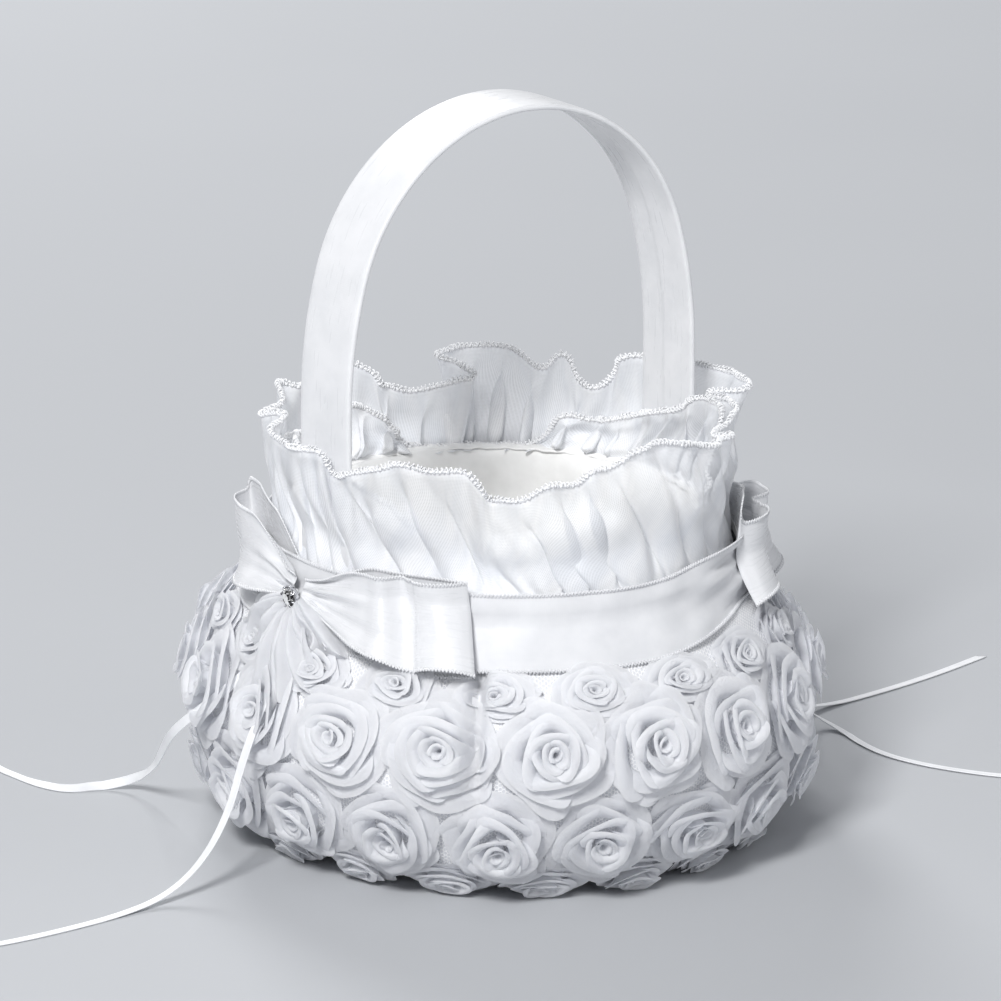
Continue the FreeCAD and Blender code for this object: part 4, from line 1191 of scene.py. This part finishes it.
def make_knot(side_name):
    """The narrow ribbon's knot: three bands wrapped over each other."""
    node = "streamer_knot_" + side_name
    low, high = box_mm(node)
    middle, half = (low + high) / 2, (high - low) / 2
    around = np.linspace(0, 2 * math.pi, 40, endpoint=False)[:, None]
    build = Build()
    for tilt, size in ((0.5, 1.0), (-0.6, 0.9), (1.5, 0.8)):
        line = np.concatenate([
            np.cos(around) * half[0], np.sin(around) * half[1] * math.cos(tilt),
            np.sin(around) * half[2] * math.sin(tilt),
        ], axis=1) * size
        axis = np.array((0.0, -math.sin(tilt), math.cos(tilt)))
        out = unit(line)
        points = np.stack([middle + line * (1 - 0.2 * abs(w)) + axis * w * half[1] * 0.9 + out * t
                           for w, t in STREAMER_SECTION], axis=1)
        build.grid(points, round_columns=True, round_rows=True)
    subdivide(build.make("ribbon_knot_" + side_name, "narrow_ribbon", [node]))


make_waist_ribbon()
make_seam_stitches()
for side_name, facing, seed in (("left", -1, 31), ("right", 1, 32)):
    make_bow(side_name, facing, seed)
    make_fan(side_name, facing, seed)
    make_knot(side_name)


# ---------------------------------------------------------------- stones

# How many kite facets a stone has, and how many claws hold it.
FACETS = 8


def stone_box(node):
    """Which way along X a stone or its setting faces, and its middle, back, front and radius."""
    low, high = box_mm(node)
    facing = 1 if low[0] > 0 else -1
    back, front = (low[0], high[0]) if facing > 0 else (high[0], low[0])
    return facing, (low + high) / 2, back, front, (high[2] - low[2]) / 2


def stone_ring(facing, middle, depth, radius, count, offset=0.0):
    """Points on a circle round a stone's axis, at a place along X."""
    angle = (np.arange(count) + offset) * 2 * math.pi / count
    return np.stack([np.full(count, depth), middle[1] + radius * np.cos(angle) * facing,
                     middle[2] + radius * np.sin(angle)], axis=1)


def make_stone(side_name):
    """A round stone with a flat table, star and kite facets and a pointed back."""
    node = "rhinestone_" + side_name
    facing, middle, back, front, radius = stone_box(node)
    depth = facing * abs(front - back)
    rings = [stone_ring(facing, middle, *ring) for ring in (
        (front, radius * 0.5, FACETS, 0.5), (front - depth * 0.2, radius * 0.78, FACETS),
        (front - depth * 0.42, radius, FACETS * 2, 0.5), (back + facing * 0.1, radius * 0.25, FACETS, 0.5),
    )]
    table, star, rim, point = 0, FACETS, 2 * FACETS, 4 * FACETS
    faces = [tuple(range(table, table + FACETS))]
    for k in range(FACETS):
        n = (k + 1) % FACETS
        a, b, c = rim + (2 * k - 1) % (2 * FACETS), rim + 2 * k, rim + 2 * k + 1
        faces += [
            (table + k, star + n, table + n), (star + k, a, b), (star + k, b, star + n, table + k),
            (b, c, star + n), (a, b, point + k, point + (k - 1) % FACETS), (b, c, point + k),
        ]
    faces.append(tuple(point + k for k in reversed(range(FACETS))))
    build = Build()
    build.add(np.concatenate(rings), faces)
    build.make("stone_" + side_name, "rhinestone", [node], smooth=False)


# The cup's section and a claw's line, as shares of the setting's depth from its back, and of its radius.
CUP = (
    (0.0, 0.72), (0.12, 0.86), (0.55, 0.96), (0.9, 1.0), (1.0, 0.985), (1.0, 0.93), (0.9, 0.915), (0.3, 0.86),
)
CLAW = ((0.2, 0.99), (0.7, 1.03), (1.05, 1.02), (1.32, 0.93), (1.42, 0.84), (1.4, 0.78))


def make_setting(side_name):
    """A silver cup with eight claws bent over the stone."""
    node = "stone_setting_" + side_name
    facing, middle, back, front, radius = stone_box(node)
    rings = [stone_ring(facing, middle, back + (front - back) * d, radius * s, 48) for d, s in CUP]
    build = Build()
    build.grid(np.stack(rings, axis=1), round_columns=True)
    for k in range(FACETS):
        angle = (k + 0.25) * 2 * math.pi / FACETS
        line = np.array([(back + (front - back) * d, middle[1] + radius * s * math.cos(angle),
                          middle[2] + radius * s * math.sin(angle)) for d, s in CLAW])
        tube(build, even_line(line, 14), 0.3, 7, closed=False)
    build.make("claw_setting_" + side_name, "silver_cup", [node])


for side in ("left", "right"):
    make_stone(side)
    make_setting(side)


# ---------------------------------------------------------------- handle

HANDLE_LOW, HANDLE_HIGH = box_mm("handle_wrap_satin")
HANDLE_THICKNESS = 2.0
# The crown's radius is this much less than half the handle's span.
CROWN_EASING = 3.5
# Where the straight legs end and the side arcs begin.
SPRING_HEIGHT = 141.2
# The wrap's section, as shares of half its width across and half its thickness outwards. The cut edge
# overlaps on the inside.
HANDLE_SECTION = (
    (-1, 0), (-0.985, 0.75), (-0.93, 1.0), (-0.6, 1.02), (-0.2, 1.03), (0.2, 1.03), (0.6, 1.02),
    (0.93, 1.0), (0.985, 0.75), (1, 0), (0.985, -0.75), (0.93, -0.98), (0.5, -1.0), (0.12, -1.0),
    (0.10, -1.28), (0.02, -1.32), (-0.3, -1.2), (-0.7, -1.08), (-0.93, -0.98), (-0.985, -0.75),
)


def arc(middle, foot, radius, angles):
    """Points (x, z) on an arc, without the first, where the line before it ends."""
    return [(middle + radius * math.cos(a), foot + radius * math.sin(a)) for a in angles[1:]]


def handle_line(count):
    """The handle's middle line: a straight leg, a wide side arc, the crown, and the same again."""
    span = HANDLE_HIGH[0] - HANDLE_THICKNESS / 2
    crown = HANDLE_HIGH[2] - HANDLE_THICKNESS / 2
    small = span - CROWN_EASING
    rise = crown - small - SPRING_HEIGHT
    wide = (span ** 2 + rise ** 2 - small ** 2) / (2 * (span - small))
    sweep = math.atan2(rise, wide - span)
    leg = [(span, z) for z in np.linspace(HANDLE_LOW[2], SPRING_HEIGHT, 12)]
    side = arc(span - wide, SPRING_HEIGHT, wide, np.linspace(0, sweep, 24))
    top = arc(0, crown - small, small, np.linspace(sweep, math.pi / 2, 40))
    right = np.array(leg + side + top)
    flat = np.concatenate([right, right[-2::-1] * (-1, 1)])
    return even_line(np.stack([flat[:, 0], np.zeros(len(flat)), flat[:, 1]], axis=1), count)


def make_handle():
    """The satin wrap: a flat band with soft edges, and its cut edge glued down along the inside."""
    line = handle_line(260)
    across = np.array((0.0, 1.0, 0.0))
    outward = np.cross(across, unit(np.gradient(line, axis=0)))
    half = (HANDLE_HIGH[1] - HANDLE_LOW[1]) / 2
    t = HANDLE_THICKNESS / 2
    rng = np.random.default_rng(8)
    run = lengths_along(line)
    wander = sum(np.sin(run / period + rng.uniform(0, PHASES)) for period in (9.0, 17.0, 31.0)) * 0.06
    points = np.empty((len(line), len(HANDLE_SECTION), 3))
    for j, (w, d) in enumerate(HANDLE_SECTION):
        soft = wander * (1 - abs(w)) * (1 if d > 0 else -1)
        points[:, j] = line + across * w * half + outward * (d * t + soft)[:, None]
    girth = lengths_along(np.array(HANDLE_SECTION) * (half, t))
    build = Build()
    build.bar(points, cloth_grid(run[:, None], girth))
    subdivide(build.make("satin_handle", "handle_satin", ["handle_wrap_satin"]))


make_handle()


# ---------------------------------------------------------------- padding

FLOOR_LOW, FLOOR_HIGH = box_mm("lining_floor_pad")
# The simulation's remesh size in millimetres, its pressure and how many frames it runs for.
VOXEL = 3.0
PRESSURE = 3.0
FRAMES = 20


def read_points(piece):
    """A piece's vertices, in millimetres."""
    data = np.empty(len(piece.data.vertices) * 3)
    piece.data.vertices.foreach_get("co", data)
    return data.reshape(-1, 3) / METRES


def write_points(piece, points):
    """Moves a piece's vertices to these places, in millimetres."""
    piece.data.vertices.foreach_set("co", (points * METRES).ravel().astype(np.float32))
    piece.data.update()


def puff(piece, cap):
    """Blows a padded piece up with the cloth simulation, with no point moved further than cap."""
    scene = bpy.context.scene
    bpy.context.view_layer.objects.active = piece
    piece.select_set(True)
    remesh = piece.modifiers.new("remesh", "REMESH")
    remesh.mode = "VOXEL"
    remesh.voxel_size = VOXEL * METRES
    bpy.ops.object.modifier_apply(modifier=remesh.name)
    start = read_points(piece)
    cloth = piece.modifiers.new("cloth", "CLOTH")
    cloth.settings.use_pressure = True
    cloth.settings.uniform_pressure_force = PRESSURE
    cloth.settings.effector_weights.gravity = 0
    cloth.point_cache.frame_start = 1
    cloth.point_cache.frame_end = FRAMES
    for number in range(1, FRAMES + 1):
        scene.frame_set(number)
    bpy.ops.object.modifier_apply(modifier=cloth.name)
    scene.frame_set(1)
    move = read_points(piece) - start
    far = np.linalg.norm(move, axis=1, keepdims=True)
    write_points(piece, start + move * np.minimum(1, cap / np.maximum(far, 1e-6)))
    piece.data.polygons.foreach_set("use_smooth", [True] * len(piece.data.polygons))
    piece.select_set(False)
    wrap_cloth(piece)


def wrap_cloth(piece):
    """Cloth coordinates for a piece that the remesh left without them: round the basket, and up and in."""
    mesh = piece.data
    points = read_points(piece)
    turn = turns_of(points)
    half = halves_of(points)
    layer = mesh.uv_layers.new(name="cloth")
    for face in mesh.polygons:
        corners = list(face.vertices)
        turns = turn[corners]
        turns = np.where((turns < 0) & (turns.max() > math.pi / 2), turns + 2 * math.pi, turns)
        for loop, vertex, angle in zip(face.loop_indices, corners, turns):
            layer.data[loop].uv = (angle * LINING_HIGH[1], points[vertex, 2] + half[vertex])


# The padded wall: its thickness, and how far its soft roll stands above and inside the drum's rim.
PADDING = 5.0
ROLL_UP = 3.0
ROLL_IN = 2.4


def make_lining():
    """The padded satin wall: a soft ring that is tucked in at the floor and ends in a roll at the rim."""
    outer = LINING_HIGH[1] - 0.8
    low, high = LINING_LOW[2] + 0.5, LINING_HIGH[2] - 0.8
    rows = 26
    wall_share = np.linspace(0, 1, rows)
    inner = outer - PADDING * (0.55 + 0.45 * np.sin(wall_share * math.pi) ** 0.5)
    inner = inner - ROLL_IN * smooth_step(wall_share, 0.86, 0.97)
    over = np.linspace(0, math.pi, 9)[1:]
    roll_half = (outer - inner[-1]) / 2
    roll_middle = (outer + inner[-1]) / 2
    roll_foot = high - 2.0
    # Up the inside wall, over the roll and down the outside.
    half = np.concatenate([inner, roll_middle - roll_half * np.cos(over), np.full(8, outer), [outer - 0.6]])
    height = np.concatenate([
        np.linspace(low + 1.5, roll_foot, rows), roll_foot + (ROLL_UP + 2.0) * np.sin(over),
        np.linspace(roll_foot - 3, low + 1.5, 8), [low],
    ])
    points = oval_point(full_turns(220), half[None, :], height[None, :])
    build = Build()
    build.grid(points[:, ::-1], round_columns=True, round_rows=True)
    piece = build.make("padded_lining", "satin_lining", ["lining_wall"])
    puff(piece, 3.0)
    points = read_points(piece)
    turn = turns_of(points)
    inside = smooth_step(halves_of(points), outer - 1.0, outer - 3.5)
    share = np.clip((points[:, 2] - low) / (high - low), 0, 1)
    wide = 2.6 * np.sin(turn * 5 + 3.4 * share + 0.9 * np.sin(turn * 3)) * smooth_step(share, 0.0, 0.4)
    narrow = 0.8 * np.sin(turn * 19 - 5 * share + 1.3 * np.sin(turn * 4)) * (0.4 + 0.6 * share)
    draw = 1.3 * bell(share - 0.76, 0.08 * np.sin(turn * 5), 0.05)
    moved = points + away(points) * ((wide + narrow + draw) * inside * 0.8)[:, None]
    moved[:, 2] += 0.35 * np.sin(turn * 11 + 1) * smooth_step(points[:, 2], high - 2, high + 2)
    write_points(piece, moved)
    subdivide(piece)


def make_binding():
    """The satin strip folded over the drum's rim: a rounded top, and a hem glued down the outside."""
    foot = box_mm("rim_binding")[0][2]
    drum = box_mm("wall_ring")[1][1]
    section = (
        (-6.0, 0.0), (-5.6, 1.0), (-4.0, 1.5), (-2.0, 1.5), (-0.4, 1.1), (0.3, 0.0), (0.45, -2.0),
        (0.45, -5.0), (0.1, -5.3), (0.0, -2.0), (-0.4, 0.1), (-3.0, 0.2),
    )
    turn = full_turns(360)
    out, rise = (np.array(column)[None, :] for column in zip(*section))
    gather = 0.14 * np.sin(turn * 47 + 1.4 * np.sin(turn * 5)) + 0.1 * np.sin(turn * 83)
    points = oval_point(turn, drum + out + gather, foot + rise + gather)
    cloth = cloth_grid(turn * drum, np.arange(len(section))[None, :] * 1.2)
    build = Build()
    build.grid(points, cloth, round_columns=True, round_rows=True)
    subdivide(build.make("satin_rim_binding", "satin_lining", ["rim_binding"]))


def make_floor_pad():
    """The padded satin floor, a low cushion drawn in at its edge."""
    low, high = FLOOR_LOW[2] + 0.3, FLOOR_HIGH[2] - 0.8
    reach = FLOOR_HIGH[1] - 1.2
    columns, rows = 150, 22
    turn = full_turns(columns)
    share = np.linspace(0.02, 1, rows)[None, :]
    top = low + (high - low) * (0.45 + 0.55 * (1 - share ** 6))
    points = oval_point(turn, reach * share, top)
    bottom = oval_point(turn, reach * share[:, ::-1], np.full_like(share, low))
    side = np.concatenate([points[:, -1:], oval_point(turn, np.full((1, 1), reach), low)], axis=1)
    build = Build()
    for patch in (points, bottom, side):
        build.grid(patch, round_columns=True)
    first = [i * rows for i in range(columns)]
    second = [columns * rows + i * rows + rows - 1 for i in range(columns)]
    build.faces += [tuple(reversed(first)), tuple(second)]
    piece = build.make("padded_floor", "satin_lining", ["lining_floor_pad"])
    puff(piece, 2.5)
    points = read_points(piece)
    upper = smooth_step(points[:, 2], low + 2, high - 1)
    share = halves_of(points) / reach
    rays = 0.45 * np.sin(turns_of(points) * 17 + 3 * share) * smooth_step(share, 0.3, 0.9)
    soft = 0.5 * np.sin(points[:, 0] * 0.11 + 1) * np.sin(points[:, 1] * 0.09)
    points[:, 2] += (rays + soft) * upper
    write_points(piece, points)
    subdivide(piece)


make_binding()
make_lining()
make_floor_pad()


def make_stuffing():
    """The fibre filling, lumpy, between the card drum and the net."""
    rng = np.random.default_rng(17)
    low, high = box_mm("stuffing")
    inner = box_mm("wall_ring")[1][1] + 0.5
    turn = full_turns(160)
    height = np.linspace(low[2] + 2, high[2] - 1, 30)[None, :]
    reach = np.interp(height, HEIGHTS, HALF_LENGTHS) - 3.2
    lump = sum(np.sin(k * turn + rng.uniform(0, 6)) * np.sin(height * 0.1 * (1 + k / 9) + rng.uniform(0, 6))
               for k in (7, 12, 19, 33)) * 0.4
    reach = np.maximum(reach + lump, inner + 0.6)
    skin = oval_point(turn, reach, height)
    wall = oval_point(turn, inner, height[:, ::-1])
    build = Build()
    build.grid(np.concatenate([skin, wall], axis=1), round_columns=True, round_rows=True)
    build.make("fibre_filling", "fibre_filling", ["stuffing"])


make_stuffing()


# ---------------------------------------------------------------- CAD nodes that are left as they are

for node, material in (
    ("base_cover", "satin_underside"), ("base_board", "card"), ("wall_ring", "card"),
    ("gathering_tape", "cotton_tape"), ("handle_core", "handle_strip"),
):
    dress(NODES[node], material)


# ---------------------------------------------------------------- floor and light


def make_floor():
    """A wide pale plane under the basket."""
    bpy.ops.mesh.primitive_plane_add(size=12, location=(0, 0, 0))
    floor = bpy.context.object
    floor.name = "floor"
    dress(floor, "floor")


def make_world():
    """Even pale light from all round."""
    world = bpy.data.worlds.new("studio")
    world.use_nodes = True
    background = world.node_tree.nodes["Background"]
    background.inputs["Color"].default_value = (0.78, 0.80, 0.84, 1)
    background.inputs["Strength"].default_value = 0.40
    bpy.context.scene.world = world


make_floor()
# Each lamp's place and side are in metres, and its power is in watts.
make_light("key", (-1.4, -0.9, 1.6), 0.5, 42)
make_light("fill", (1.5, -1.9, 0.7), 1.4, 8)
make_light("rim", (0.7, 1.8, 1.4), 0.7, 26)
make_world()
bpy.context.scene.view_settings.view_transform = "Standard"
